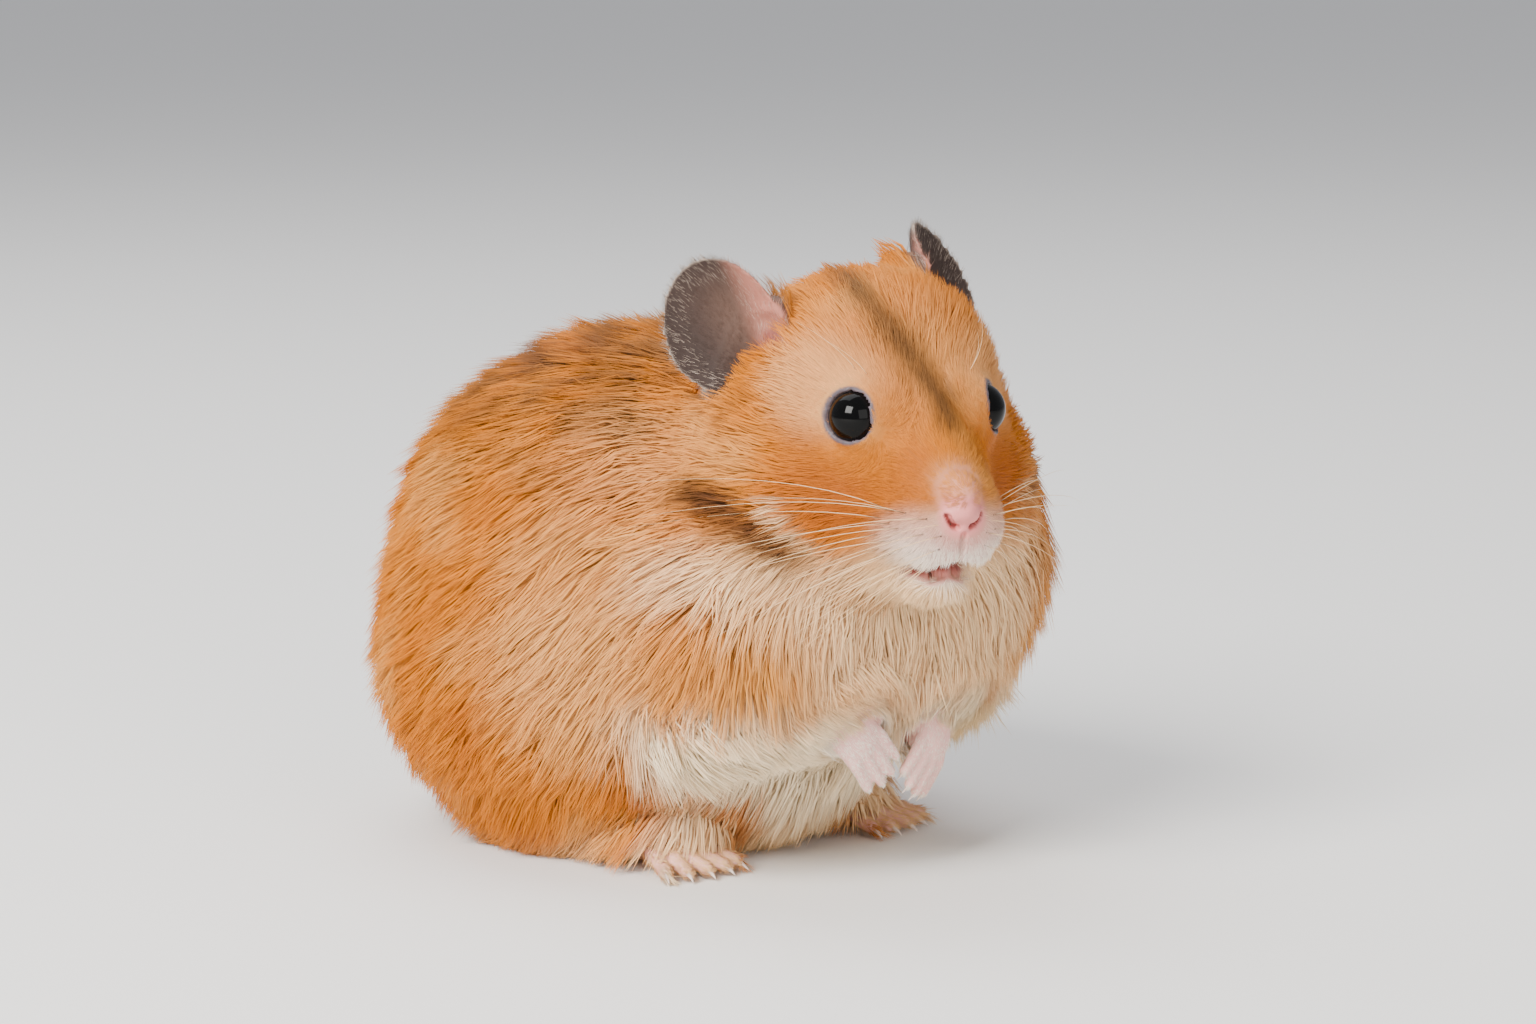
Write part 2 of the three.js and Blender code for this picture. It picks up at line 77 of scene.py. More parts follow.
WHISKER_ROWS = 5
WHISKER_COLUMNS = 5
WHISKER_RADIUS = 0.05
BROW_WHISKER_RADIUS = 0.036
WHISKER_TIP = 0.008
WHISKER_FOOT = 0.15  # the dark dot that a whisker grows from
TAIL = ((0.0, 37.0, 8.6), (0.6, 42.5, 6.8), (1.0, 46.4, 5.2))

BODY_COAT = 9.5  # length of the hair
CHEEK_COAT = 5.2
CROWN_COAT = 4.0
FACE_COAT = 2.3
MUZZLE_COAT = 1.2
ARM_COAT = 3.4
BELLY_COAT = 7.0
PAW_COAT = 0.75
CHIN_COAT = 2.4
LID_COAT = 1.0
FOOT_COAT = 1.3
TAIL_COAT = 2.6
EAR_COAT = 1.3
COAT_RISE = 0.5  # how deep the coat stands for each millimetre of hair

NODE_SWELL = 0.35
BLANK_VOXEL = 0.9
SKIN_VOXEL = 0.36
SKIN_TRIANGLES = 165000
BODY_DENSITY = 10.0  # locks to a square millimetre
FINE_DENSITY = 19.0
BENT_SHARE = 0.35
LONG_HAIR = 3.2  # from this length it grows in locks
SHOWN_SHARE = 0.45  # how far along itself a hair shows its colour
SOFTNESS = 0.72  # how far the hair is shaded as the body under it is
CHART_PATCH = 0.0015  # half the size of a lock's place on the skin's map

LOCK_LIFT = 27  # how steeply a lock leaves the skin, in degrees
LOCK_STRAY = 0.12  # how far a lock strays from the lie, in radians
LOCK_SWAY = 0.35  # how far the lie itself wanders
LOCK_ROOT = 0.3  # how deep the root sits
LOCK_REACH = 1.7  # from how far hairs are drawn into a lock
LOCK_CENTRES = 0.03  # locks for each hair
UNDERCOAT = 0.86  # the undercoat's length as a share of the top coat's
TOP_WIDTH = 0.24
UNDER_WIDTH = 0.26
NECK_WIDTH = 0.16
FINE_LIFT = 17
FINE_STRAY = 0.11
FINE_ROOT = 0.12

HEAD = (
    Matrix.Translation((-2.7, -35, 56.9))
    @ Matrix.Rotation(math.radians(-20), 4, "Z")
    @ Matrix.Rotation(math.radians(14), 4, "X")
)
EARS = {
    "left": ((12.5, 9.5, 6.2), (-0.15, 0.6, 0.8), (0.7, -0.65, 0.25)),
    "right": ((-13.0, 7.5, 5.0), (-0.43, 0.55, 0.71), (-0.75, -0.6, 0.1)),
}


def tone(code):
    """A colour of the coat, given as it looks, in the light that a shader works with."""
    parts = [int(code[n : n + 2], 16) / 255 for n in (0, 2, 4)]
    return np.array([p / 12.92 if p < 0.04 else ((p + 0.055) / 1.055) ** 2.4 for p in parts])


GOLD = tone("c06c08")
DEEP_GOLD = tone("a04c06")
PEACH = tone("dc9c5e")
APRICOT = tone("d2954c")
CREAM = tone("ecc492")
IVORY = tone("f3dfba")
WHITE = tone("fbf0e2")
STRIPE = tone("42230c")
DUSK = tone("40301f")
NOSE_PINK = tone("dc8680")
BRIDGE_PINK = tone("cf8870")
LIP_PINK = tone("cc7e72")
MOUTH_RED = tone("7a2e2a")
PAW_PINK = tone("eeb9ae")
EAR_DARK = tone("342722")
EAR_BROWN = tone("5c4439")
EAR_PINK = tone("b87462")
EAR_RIM = tone("cdb9a8")
LID_GREY = tone("574c52")
SOCKET = tone("1a1412")
EYE_BROWN = (0.012, 0.007, 0.006)
EYE_BLACK = (0.0015, 0.0015, 0.0015)
QUICK_PINK = (0.62, 0.33, 0.27)
HORN = (0.75, 0.68, 0.6)
SKIN_DRY = 0.78  # roughness under the hair, and where the skin is naked
SKIN_MOIST = 0.45
PORES = 1900  # to a metre
BLOTCHES = 420
PORE_DEPTH = 0.0002

# ---- places and masks


def mirrored(point, side):
    return (point[0] * side, point[1], point[2])


def staggered(point, side):
    return (point[0] * side + PAWS_ASIDE, point[1], point[2] - PAW_STAGGER * side)


def pointing(start, end, towards):
    """A frame whose -Y runs from one point to another, and whose +Z leans towards a given side."""
    back = (Vector(start) - Vector(end)).normalized()
    across = back.cross(Vector(towards)).normalized()
    up = across.cross(back)
    turn = Matrix((across, back, up)).transposed().to_4x4()
    return Matrix.Translation(start) @ turn


def forepaw_frame(side):
    return pointing(staggered(WRIST, side), staggered(FINGERTIPS, side), mirrored((0.45, -1, 0.35), side))


def hind_foot_frame(side):
    return Matrix.Translation(mirrored(HEEL, side)) @ Matrix.Rotation(math.radians(9 * side), 4, "Z")


def seen_from(place, points):
    """Points in the frame of a place such as the head."""
    back = np.array(place.inverted())
    return points @ back[:3, :3].T + back[:3, 3]


def direction_from(place, vectors):
    return vectors @ np.array(place)[:3, :3].T


def unit(vectors):
    return vectors / np.maximum(np.linalg.norm(vectors, axis=-1, keepdims=True), 1e-9)


def fade(value):
    value = np.clip(value, 0, 1)
    return value * value * (3 - 2 * value)


def folded(points, both):
    """A copy of the points; both lays the right side over the left."""
    own = np.array(points, float)
    if both:
        own[:, 0] = np.abs(own[:, 0])
    return own


def within(points, centre, radii, soft=0.3, both=False):
    """1 inside an ellipsoid and 0 outside it, fading over its edge; both also takes its mirror image."""
    reach = np.linalg.norm((folded(points, both) - np.array(centre)) / np.array(radii), axis=1)
    return fade((1 + soft - reach) / (2 * soft))


def near_path(points, path, radius, soft=0.4, both=False):
    """1 close to a path of straight runs, fading with distance."""
    own = folded(points, both)
    nearest = np.full(len(own), 1e9)
    for start, end in zip(path[:-1], path[1:]):
        start, run = np.array(start), np.array(end) - np.array(start)
        share = np.clip((own - start) @ run / (run @ run), 0, 1)
        nearest = np.minimum(nearest, np.linalg.norm(own - start - share[:, None] * run, axis=1))
    return fade((1 + soft - nearest / radius) / (2 * soft))


def mixed(values, other, share):
    share = np.asarray(share)
    if values.ndim > 1:
        share = share[:, None]
    return values + (np.asarray(other) - values) * share


def cloudy(points, size, seed=0.0):
    """Soft random patches between -1 and 1, of about a given size."""
    shift = Vector((seed * 7.3, seed * 3.1, seed * 5.7))
    return np.array([noise.noise(Vector(p) / size + shift) for p in points])


class Ear:
    """The places of a pinna: across and along it from -1 to 1, and the height over its bowl."""

    def __init__(self, name):
        root, stands, faces = (Vector(v) for v in EARS[name])
        self.root = root
        self.along = stands.normalized()
        self.facing = (faces - self.along * faces.dot(self.along)).normalized()
        self.across = self.along.cross(self.facing)
        self.front = 1 if root.x < 0 else -1  # which end of the width lies towards the face

    @staticmethod
    def half_width(rise):
        """Narrow at the root, and full from half way up."""
        swell = np.sin(math.pi / 2 * np.clip(rise / 0.5, 0, 1))
        return (EAR_ROOT_WIDTH + (1 - EAR_ROOT_WIDTH) * swell) * EAR_WIDTH / 2

    @staticmethod
    def bowl(a, rise):
        return EAR_HOLLOW * (a * a * 0.7 + (rise - 0.5) ** 2 * 1.3)

    def place(self, a, b, c):
        rise = (b + 1) / 2
        rim = max(0.0, math.hypot(a, b) - EAR_ROLL_START) / (1 - EAR_ROLL_START)
        return (
            self.root
            + self.across * (a * float(self.half_width(rise)))
            + self.along * (rise * EAR_HEIGHT - EAR_ROOT_DEPTH)
            + self.facing * (self.bowl(a, rise) + EAR_ROLL * rim * rim + c * EAR_THICKNESS / 2)
        )

    def read(self, head_points):
        off = head_points - np.array(self.root)
        rise = (off @ np.array(self.along) + EAR_ROOT_DEPTH) / EAR_HEIGHT
        a = off @ np.array(self.across) / self.half_width(rise)
        return a, rise * 2 - 1, off @ np.array(self.facing) - self.bowl(a, rise)


EAR_MAPS = {name: Ear(name) for name, _ in SIDES}


def ear_share(head_points, name):
    """1 on the free part of a pinna."""
    a, b, c = EAR_MAPS[name].read(head_points)
    size = np.hypot(a, b)
    return fade((1.2 - size) / 0.1) * fade((b + 0.78) / 0.16) * fade((2.2 - np.abs(c)) / 0.8)


def paw_share(points, side):
    own = seen_from(forepaw_frame(side), points)
    return within(own, (0, -7.6, 0), (5.2, 7.2, 3.6), 0.12)


def foot_share(points, side):
    own = seen_from(hind_foot_frame(side), points)
    return within(own, (0, -12, -0.6), (7.5, 11, 4.2), 0.12)


def tail_share(points):
    return near_path(points, TAIL, 3.4, 0.25) * fade((points[:, 1] - 38.5) / 2)


# On the head: the hair's length, then the middle, size and soft edge of its place, and whether on both sides.
HEAD_COATS = (
    (CHEEK_COAT, (0, 3, -4), (25, 22, 17), 0.2, False),
    (CROWN_COAT, (0, 0, 7), (17, 19, 14), 0.25, False),
    (FACE_COAT, (0, -17, -1), (14, 14, 14), 0.3, False),
    (FACE_COAT, (9, -9, 5), (8, 8, 8), 0.4, True),
    (MUZZLE_COAT, (0, -22, -3), (7, 7.5, 8), 0.3, False),
    (CHIN_COAT, (0, -17, -13), (7, 6, 5), 0.35, False),
)


def hair_length(points):
    """How long the hair is at each place, and so how deep the skin lies under the coat."""
    head = seen_from(HEAD, points)
    length = np.full(len(points), BODY_COAT)
    length = mixed(length, BELLY_COAT, fade((9 - points[:, 2]) / 7))
    for coat, *place in HEAD_COATS:
        length = mixed(length, coat, within(head, *place))
    arm = near_path(points, (ELBOW, WRIST), 9, 0.3, both=True)
    length = mixed(length, ARM_COAT, arm * fade((24 - np.abs(points[:, 0])) / 8))
    length = mixed(length, TAIL_COAT, tail_share(points))
    for name, side in SIDES:
        own = seen_from(eye_frame(side), points)
        length = mixed(length, LID_COAT, within(own, (0, 0, 1), (5.2, 5.2, 5), 0.3))
        length = mixed(length, PAW_COAT, paw_share(points, side))
        length = mixed(length, FOOT_COAT, foot_share(points, side))
        length = mixed(length, EAR_COAT, ear_share(head, name))
    return length


def eye_frame(side):
    """A frame at an eye's middle whose +Z looks out of it, and whose +Y is up."""
    look = Vector(mirrored(EYE_LOOKS, side)).normalized()
    across = Vector((0, 0, 1)).cross(look).normalized()
    turn = Matrix((across, look.cross(across), look)).transposed().to_4x4()
    return HEAD @ Matrix.Translation(mirrored(EYE_CENTRE, side)) @ turn


# ---- markings, and shade painted into them

def round_eye(points, side):
    """Places in an eye's frame, and how far they are from the line that it looks along."""
    own = seen_from(eye_frame(side), points)
    return own, np.hypot(own[:, 0], own[:, 1])


# The middles of the markings in the head's frame: pale band and dark stripe along the cheek, the pale
# crescent under it, and the dusky line over the crown.
BAND_PATH = (
    (34, 4, -17), (30.2, -2.2, -15.5), (26.3, -8, -15), (20.4, -12.7, -15.6), (12.1, -15.2, -17.5),
)
STRIPE_PATH = (
    (27.5, 9, -7), (24.2, -1.7, -7.4), (22.3, -6.7, -8.8), (20.3, -9.8, -10.2), (16.8, -12.6, -11.9),
)
CRESCENT_PATH = (
    (19.2, -7.8, -6), (18, -10.2, -8.3), (15.8, -12.2, -10.4), (13, -13.9, -12.8), (5.9, -16, -15.9),
)
MIDLINE_PATH = (
    (1.2, -15, 7), (1.2, -12.4, 8.7), (-0.7, -8.5, 12.3), (-3.6, -5, 16),
    (-5.2, 0, 18.6), (-5, 8, 20), (-2, 16, 19), (0, 34, 16),
)


# Patches laid over one another: the colour and how strongly it is laid, then the patch as in HEAD_COATS.
BODY_WASHES = (
    (APRICOT, 0.8, (32, -12, 29), (11, 12, 13), 0.7, True),
    (PEACH, 0.4, (32, -12, 29), (11, 12, 13), 0.7, True),
    (PEACH, 0.45, (24, -14, 53), (9, 10, 9), 0.8, True),
    (APRICOT, 0.65, (24, -35, 28), (11, 10, 9), 0.7, True),
)
FACE_WASHES = (
    (PEACH, 0.85, (12, -4, 8), (8, 7, 6), 0.5, True),
    (DEEP_GOLD, 0.6, (14, -11, -4.5), (6, 7, 4.5), 0.5, True),
    (PEACH, 0.4, (0, -6, 12), (12, 10, 10), 0.5, False),
)
MUZZLE_WASHES = (
    # The chin stays cream below the white muzzle: partly its own colour, partly painted shade under the head.
    (CREAM, 1, (0, -19, -13), (10, 7.5, 7.0), 0.4, False),
    (WHITE, 0.9, (0, -21.5, -7.2), (8.2, 6.5, 4.8), 0.6, False),
    (BRIDGE_PINK, 0.4, (3.8, -21, -4.4), (3.2, 3.6, 2.2), 0.6, True),
    (PEACH, 0.45, (0, -21, 1.4), (3.6, 4.4, 2.6), 0.5, False),
    (BRIDGE_PINK, 0.6, (0, -22.8, -0.6), (2.8, 3.6, 2.2), 0.5, False),
    (LIP_PINK, 0.6, (0, -23.4, -4.6), (3.4, 3.0, 2.2), 0.45, False),
)
NAKED_WASHES = (
    (BRIDGE_PINK, 0.75, (0, -21.9, 0.2), (3.0, 5.0, 3.0), 0.5, False),
    (LIP_PINK, 0.5, (0, -22, -6.5), (5.0, 5.0, 4.2), 0.5, False),
    (NOSE_PINK, 1, (0, -23.4, -2.3), (3.1, 3.2, 2.6), 0.25, False),
)

# Lines on the front of the muzzle, as they are seen from ahead: across and up, in the head's frame.
MOUTH_LINE = ((0.0, -9.6), (1.5, -10.1), (3.0, -10.8), (4.2, -11.0))
UPPER_LIP = ((0.0, -8.8), (1.5, -9.3), (3.2, -10.0), (4.4, -10.3))
LOWER_LIP = ((0.0, -10.6), (1.5, -11.1), (2.4, -11.4))
NOSTRIL = ((0.95, -3.7), (1.45, -3.5), (2.0, -2.9), (2.25, -2.3))
PHILTRUM = ((0.0, -4.6), (0.0, -9.6))


def on_front(head_points, line, radius, soft=0.6):
    """1 close to a line on the front of the muzzle and to its mirror image."""
    flat = head_points * np.array((1.0, 0.0, 1.0))
    path = [(x, 0.0, z) for x, z in line]
    return near_path(flat, path, radius, soft, both=True) * fade((-17.0 - head_points[:, 1]) / 1.5)


GROOVES = ((PHILTRUM, 0.35, 0.5), (NOSTRIL, 0.3, 0.8), (MOUTH_LINE, 0.95, 2.2))  # line, width and depth
# The colours along those lines: colour, strength, line, reach and soft edge.
LINE_COLOURS = (
    (LIP_PINK, 0.85, LOWER_LIP, 0.75, 0.5),
    (LIP_PINK, 1, MOUTH_LINE, 1.1, 0.4),
    # Dark red along the mouth and in the nostrils: partly the lining's own red, partly painted shade in the
    # openings.
    (MOUTH_RED, 1, MOUTH_LINE, 0.85, 0.3),
    (MOUTH_RED, 1, NOSTRIL, 0.28, 0.4),
)


def washed(colour, points, washes):
    for tint, strength, *place in washes:
        colour = mixed(colour, tint, strength * within(points, *place))
    return colour


def bare_share(points):
    """1 where the skin is naked: nose pad, lips and lids."""
    head = seen_from(HEAD, points)
    bare = within(head, (0, -23.6, -2.7), (2.9, 2.9, 2.1), 0.12)
    for line, radius in ((MOUTH_LINE, 1.1), (UPPER_LIP, 1.0), (LOWER_LIP, 0.6)):
        bare = np.maximum(bare, on_front(head, line, radius, 0.2))
    for _, side in SIDES:
        own, around = round_eye(points, side)
        bare = np.maximum(bare, fade((3.65 - around) / 0.2) * fade((own[:, 2] + 0.5) / 1.0))
    return bare


def markings_and_shade(points):
    """The golden coat's colours at places on its surface, with some painted shade on the back and the chin:
    the same for the skin and for its hair.
    """
    head = seen_from(HEAD, points)
    near_head = within(head, (0, 0, 0), (30, 27, 24), 0.2)
    colour = np.tile(GOLD, (len(points), 1))
    patches = cloudy(points, 9.0)
    colour = mixed(colour, DEEP_GOLD, 0.45 * fade(patches * 1.6))
    colour = mixed(colour, APRICOT, 0.5 * fade(-patches * 1.6))
    ragged = cloudy(points, 4.0, 5.0)
    # The top of the back is darker: partly the coat's own dusky ticking, partly painted shade.
    back = fade((points[:, 2] - 44) / 20) * (1 - near_head)
    colour = mixed(colour, DUSK, 0.72 * back * fade(0.6 + cloudy(points, 5.0, 2.0)))
    nape = within(head, (24, 10, 2), (12, 12, 16), 0.5, both=True)
    colour = mixed(colour, DUSK, 0.5 * nape * fade(cloudy(points, 4.5, 1.0) * 2 - 0.2))
    colour = washed(colour, points, BODY_WASHES)

    inward = np.abs(points[:, 0]) + 2.5 * ragged
    front = fade((-33 - points[:, 1] + 3 * ragged) / 10) * fade((45 - points[:, 2]) / 8)
    colour = mixed(colour, CREAM, front * fade((25 - inward) / 11))
    low_front = fade((26 - points[:, 2] + 2.5 * ragged) / 9) * fade((-11 - points[:, 1] + 3 * ragged) / 12)
    colour = mixed(colour, IVORY, 0.95 * low_front)
    under = fade((7 - points[:, 2]) / 6) * within(points, (0, 0, 2), (24, 36, 14), 0.3)
    colour = mixed(colour, CREAM, under)
    colour = mixed(colour, GOLD, 0.8 * within(points, (12, -19.5, 3), (5, 4.5, 5), 0.4, both=True))

    band = near_path(head, BAND_PATH, 4.2, 0.9, both=True) * fade((7 - head[:, 1]) / 13)
    colour = mixed(colour, CREAM, 0.85 * band * (0.9 + 0.3 * ragged))
    stripe = near_path(head, STRIPE_PATH, 2.3, 0.8, both=True) * fade((10 - head[:, 1]) / 9)
    colour = mixed(colour, STRIPE, np.clip(stripe * (0.9 + 0.3 * cloudy(points, 2.5, 3.0)), 0, 1))
    colour = mixed(colour, CREAM, 0.9 * near_path(head, CRESCENT_PATH, 1.0, 0.9, both=True))

    colour = washed(colour, head, FACE_WASHES)
    midline = near_path(head, MIDLINE_PATH, 1.9, 0.95)
    colour = mixed(colour, DUSK, 0.8 * midline * fade(1.15 + 0.8 * cloudy(points, 2.2, 4.0)))
    colour = washed(colour, head, MUZZLE_WASHES)
    for _, side in SIDES:
        colour = mixed(colour, CREAM, 0.9 * tail_share(points))
        colour = mixed(colour, WHITE, paw_share(points, side))
        colour = mixed(colour, CREAM, foot_share(points, side))
    return colour


def ear_colours(head, name):
    """Dark grey-brown in the bowl and behind, flesh-coloured towards the face, dark red at the opening as
    partly painted shade, with a pale rim.
    """
    ear = EAR_MAPS[name]
    a, b, c = ear.read(head)
    ahead = a * ear.front
    shade = np.tile(EAR_DARK, (len(head), 1))
    shade = mixed(shade, EAR_BROWN, 0.9 * fade((ahead + 0.7) / 1.0) * fade((1.0 - b) / 0.9))
    inside = fade(c + 0.6)
    shade = mixed(shade, EAR_PINK, 0.85 * fade((ahead - 0.12 - 0.35 * b) / 0.7) * inside)
    # A dark red spot at the ear's opening: partly its own red, partly painted shade in the canal.
    hollow = np.hypot((ahead - 0.55) / 0.3, (b + 0.5) / 0.22)
    shade = mixed(shade, MOUTH_RED, 0.8 * fade(1.3 - hollow) * inside)
    rim = fade((np.hypot(a, b) - 0.95) / 0.05) * fade((b + 0.6) / 0.3) * fade((0.75 - ahead) / 0.3)
    return mixed(shade, EAR_RIM, 0.75 * rim)


def skin_colours(points, colour):
    """The coat's markings and painted shade on the skin under it, with the colours of the bare parts over
    them, and painted shade in the nostrils, the mouth and the ears' openings.
    """
    head = seen_from(HEAD, points)
    colour = washed(colour, head, NAKED_WASHES)
    for tint, strength, *place in LINE_COLOURS:
        colour = mixed(colour, tint, strength * on_front(head, *place))
    for name, side in SIDES:
        own, around = round_eye(points, side)
        colour = mixed(colour, LID_GREY, fade((3.7 - around) / 0.3) * fade((own[:, 2] + 0.5) / 1.0))
        colour = mixed(colour, SOCKET, fade((3.0 - around) / 0.2) * fade((own[:, 2] + 2.5) / 1.0))
        colour = mixed(colour, PAW_PINK, paw_share(points, side))
        colour = mixed(colour, PAW_PINK, foot_share(points, side))
        colour = mixed(colour, ear_colours(head, name), ear_share(head, name))
    return mixed(colour, PAW_PINK, 0.8 * tail_share(points))


# ---- shaping


def object_of(shape, name):
    """A Blender object from a bmesh."""
    mesh = bpy.data.meshes.new(name)
    shape.to_mesh(mesh)
    shape.free()
    made = bpy.data.objects.new(name, mesh)
    bpy.context.scene.collection.objects.link(made)
    return made


def settle(made):
    """Makes an object's modifiers part of its mesh."""
    graph = bpy.context.evaluated_depsgraph_get()
    mesh = bpy.data.meshes.new_from_object(made.evaluated_get(graph))
    made.modifiers.clear()
    old, made.data = made.data, mesh
    bpy.data.meshes.remove(old)


def melt(made, voxel):
    """Melts overlapping shapes into one closed surface."""
    remesh = made.modifiers.new("melt", "REMESH")
    remesh.mode, remesh.voxel_size = "VOXEL", voxel
    settle(made)


def soften(made, times, group=""):
    smooth = made.modifiers.new("soften", "SMOOTH")
    smooth.factor, smooth.iterations, smooth.vertex_group = 0.5, times, group


def weigh(made, name, weights):
    """A vertex group from one weight for each point."""
    group = made.vertex_groups.new(name=name)
    for n in np.nonzero(weights)[0]:
        group.add([int(n)], float(weights[n]), "REPLACE")


def pour(own, shape):
    """Puts one bmesh into another and lets it go."""
    passing = bpy.data.meshes.new("passing")
    own.to_mesh(passing)
    own.free()
    shape.from_mesh(passing)
    bpy.data.meshes.remove(passing)


def discard(made):
    mesh = made.data
    bpy.data.objects.remove(made)
    bpy.data.meshes.remove(mesh)


def spots(mesh):
    co = np.empty(len(mesh.vertices) * 3, np.float32)
    mesh.vertices.foreach_get("co", co)
    return co.reshape(-1, 3).astype(float)


def spot_normals(mesh):
    normals = np.empty(len(mesh.vertices) * 3, np.float32)
    mesh.vertex_normals.foreach_get("vector", normals)
    return normals.reshape(-1, 3).astype(float)


def move_spots(mesh, places):
    mesh.vertices.foreach_set("co", places.astype(np.float32).ravel())
    mesh.update()


def ball(shape, centre, radii, place=Matrix(), detail=3):
    """An ellipsoid in the frame of a place."""
    at = place @ Matrix.Translation(centre) @ Matrix.Diagonal((*radii, 1))
    bmesh.ops.create_icosphere(shape, subdivisions=detail, radius=1, matrix=at)


def rod(shape, path, radii, place=Matrix(), sides=14):
    """A bent rod with round ends through a few points, each with its own radius."""
    for n, (point, radius) in enumerate(zip(path, radii)):
        ball(shape, point, (radius,) * 3, place, detail=2)
        if n == 0:
            continue
        start, end = Vector(path[n - 1]), Vector(point)
        turn = (end - start).to_track_quat("Z", "Y").to_matrix().to_4x4()
        at = place @ Matrix.Translation((start + end) / 2) @ turn
        bmesh.ops.create_cone(
            shape, cap_ends=True, segments=sides, radius1=radii[n - 1], radius2=radius,
            depth=(end - start).length, matrix=at,
        )


def node_copy(shape, name):
    """A CAD node's surface in millimetres, grown a little, so that neighbours run into each other."""
    own = bmesh.new()
    own.from_mesh(NODES[name].data)
    bmesh.ops.scale(own, vec=(1 / MM,) * 3, verts=own.verts)
    bmesh.ops.remove_doubles(own, verts=own.verts, dist=0.002)
    own.normal_update()
    for vert in own.verts:
        vert.co += vert.normal * NODE_SWELL
    pour(own, shape)


def body_blank():
    """The body's masses as one smooth shape, sunk below the coat's tips by the depth of the coat."""
    shape = bmesh.new()
    for name in ("trunk", "neck", "head", "foreleg_left", "foreleg_right", "hindleg_left", "hindleg_right"):
        node_copy(shape, name)
    ball(shape, (0, -22.0, -2), (2.5, 2.3, 2.0), HEAD)
    for _, side in SIDES:
        ball(shape, mirrored(EYE_CENTRE, side), (3.3, 3.3, 3.3), HEAD)
        ball(shape, (0, -0.5, 0.2), (3.8, 4.6, 3.0), forepaw_frame(side))
        ball(shape, (0, -3, 2), (5, 9, 4.5), hind_foot_frame(side))
    blank = object_of(shape, "blank")
    melt(blank, BLANK_VOXEL)
    head = seen_from(HEAD, spots(blank.data))
    weigh(blank, "calm", 1 - within(head, (0, -4, 0), (24, 24, 20), 0.25))
    soften(blank, 12)
    soften(blank, 70, "calm")
    settle(blank)
    places, normals = spots(blank.data), spot_normals(blank.data)
    length = hair_length(places)
    under = fade(-normals[:, 2] * 2 - 0.6) * fade((3 - places[:, 2]) / 2.5)
    depth = mixed(length * COAT_RISE, 0.5, under)
    move_spots(blank.data, places - normals * depth[:, None])
    return blank


def pinna(shape, name):
    """The thin bowl of an ear, with a rolled rim and the folds at its root."""
    ear = EAR_MAPS[name]
    own = bmesh.new()
    bmesh.ops.create_icosphere(own, subdivisions=5, radius=1)
    for vert in own.verts:
        a, b, c = vert.co
        full = math.copysign(abs(c) ** 0.45, c)
        ahead = a * ear.front
        fold = 1.3 * math.exp(-(((ahead - 0.36) / 0.16) ** 2) - ((b + 0.5) / 0.36) ** 2)
        fold -= 1.2 * math.exp(-(((ahead - 0.62) / 0.16) ** 2) - ((b + 0.5) / 0.22) ** 2) * max(0.0, full)
        vert.co = HEAD @ (ear.place(a, b, full) + ear.facing * fold)
    pour(own, shape)


def digit_paths(count, fan, half, front, length, thickness, droop, side):
    """The joints of slender fingers that fan out from a palm."""
    middle = (count - 1) / 2
    for n in range(count):
        off = (n - middle) / middle
        turn = math.radians(fan * off) * side
        reach = length * (1 - 0.16 * off * off)
        start = Vector((half * off * side, -front, 0))
        ahead = Vector((math.sin(turn), -math.cos(turn), 0))
        down = Vector((0, 0, -1))
        yield [
            start - ahead * 1.5,
            start + ahead * reach * 0.22 + down * thickness * -0.08,
            start + ahead * reach * 0.58 + down * thickness * 0.25,
            start + ahead * reach + down * droop,
        ], ahead + down * droop * 0.35


FORE_DIGITS = dict(
    count=4, fan=3, half=2.45, front=5.6, length=FOREPAW_LENGTH - 5.8, thickness=1.6, droop=1.3,
)
HIND_DIGITS = dict(
    count=5, fan=20, half=3.6, front=HIND_FOOT_LENGTH - 7, length=6.2, thickness=2.0, droop=0.9,
)


def digits(shape, place, side, kind):
    half = kind["thickness"] / 2
    for path, _ in digit_paths(side=side, **kind):
        rod(shape, path, (half, half * 1.06, half * 0.92, half * 0.86), place)


def forepaw(shape, side):
    """Wrist, palm with its pads, thumb stub and four fingers."""
    place = forepaw_frame(side)
    rod(shape, [mirrored(ELBOW, side), staggered(WRIST, side)], (5.0, 2.5))
    rod(shape, [(0, 1, 0), (0, -2.5, 0)], (2.5, 2.3), place)
    ball(shape, (0, -4.0, 0), (3.4, 3.7, 1.9), place)
    ball(shape, (-2.9 * side, -4.0, -0.9), (1.0, 1.6, 0.9), place)
    for across in (-1.7, 0, 1.7):
        ball(shape, (across, -6.0, -1.3), (0.9, 1.0, 0.8), place)
    digits(shape, place, side, FORE_DIGITS)


def hind_foot(shape, side):
    """Heel, flat sole and five toes."""
    place = hind_foot_frame(side)
    rod(shape, [(0, 6, 5), (0, 0, 0.7)], (4.5, 2.6), place)
    rod(shape, [(0, 0, 0.3), (0, -7, 0.1), (0, -11.8, -0.3)], (2.4, 2.5, 1.9), place)
    ball(shape, (0, -12, -0.4), (4.0, 3.4, 1.7), place)
    digits(shape, place, side, HIND_DIGITS)


def lids(shape, side):
    """The ring of the eyelids, drawn out a little at the corner by the nose, and the swell under them."""
    place = eye_frame(side)
    steps = 28
    lift = LID_HEIGHT
    nose_way = math.radians(200 if side > 0 else -20)
    path = []
    for n in range(steps + 1):
        turn = 2 * math.pi * n / steps
        corner = max(0.0, math.cos(turn - nose_way)) ** 12
        reach = EYE_OPENING + 0.12 + 0.55 * corner
        path.append((reach * math.cos(turn), reach * math.sin(turn) * 1.04, lift - 0.6 * corner))
    rod(shape, path, [LID_THICKNESS] * len(path), place, sides=8)
    for reach, drop, radius in LID_MOUNDS:
        turns = np.linspace(0, 2 * math.pi, 25)
        mound = [(reach * math.cos(t), reach * math.sin(t), lift - drop) for t in turns]
        rod(shape, mound, [radius] * len(mound), place, sides=8)


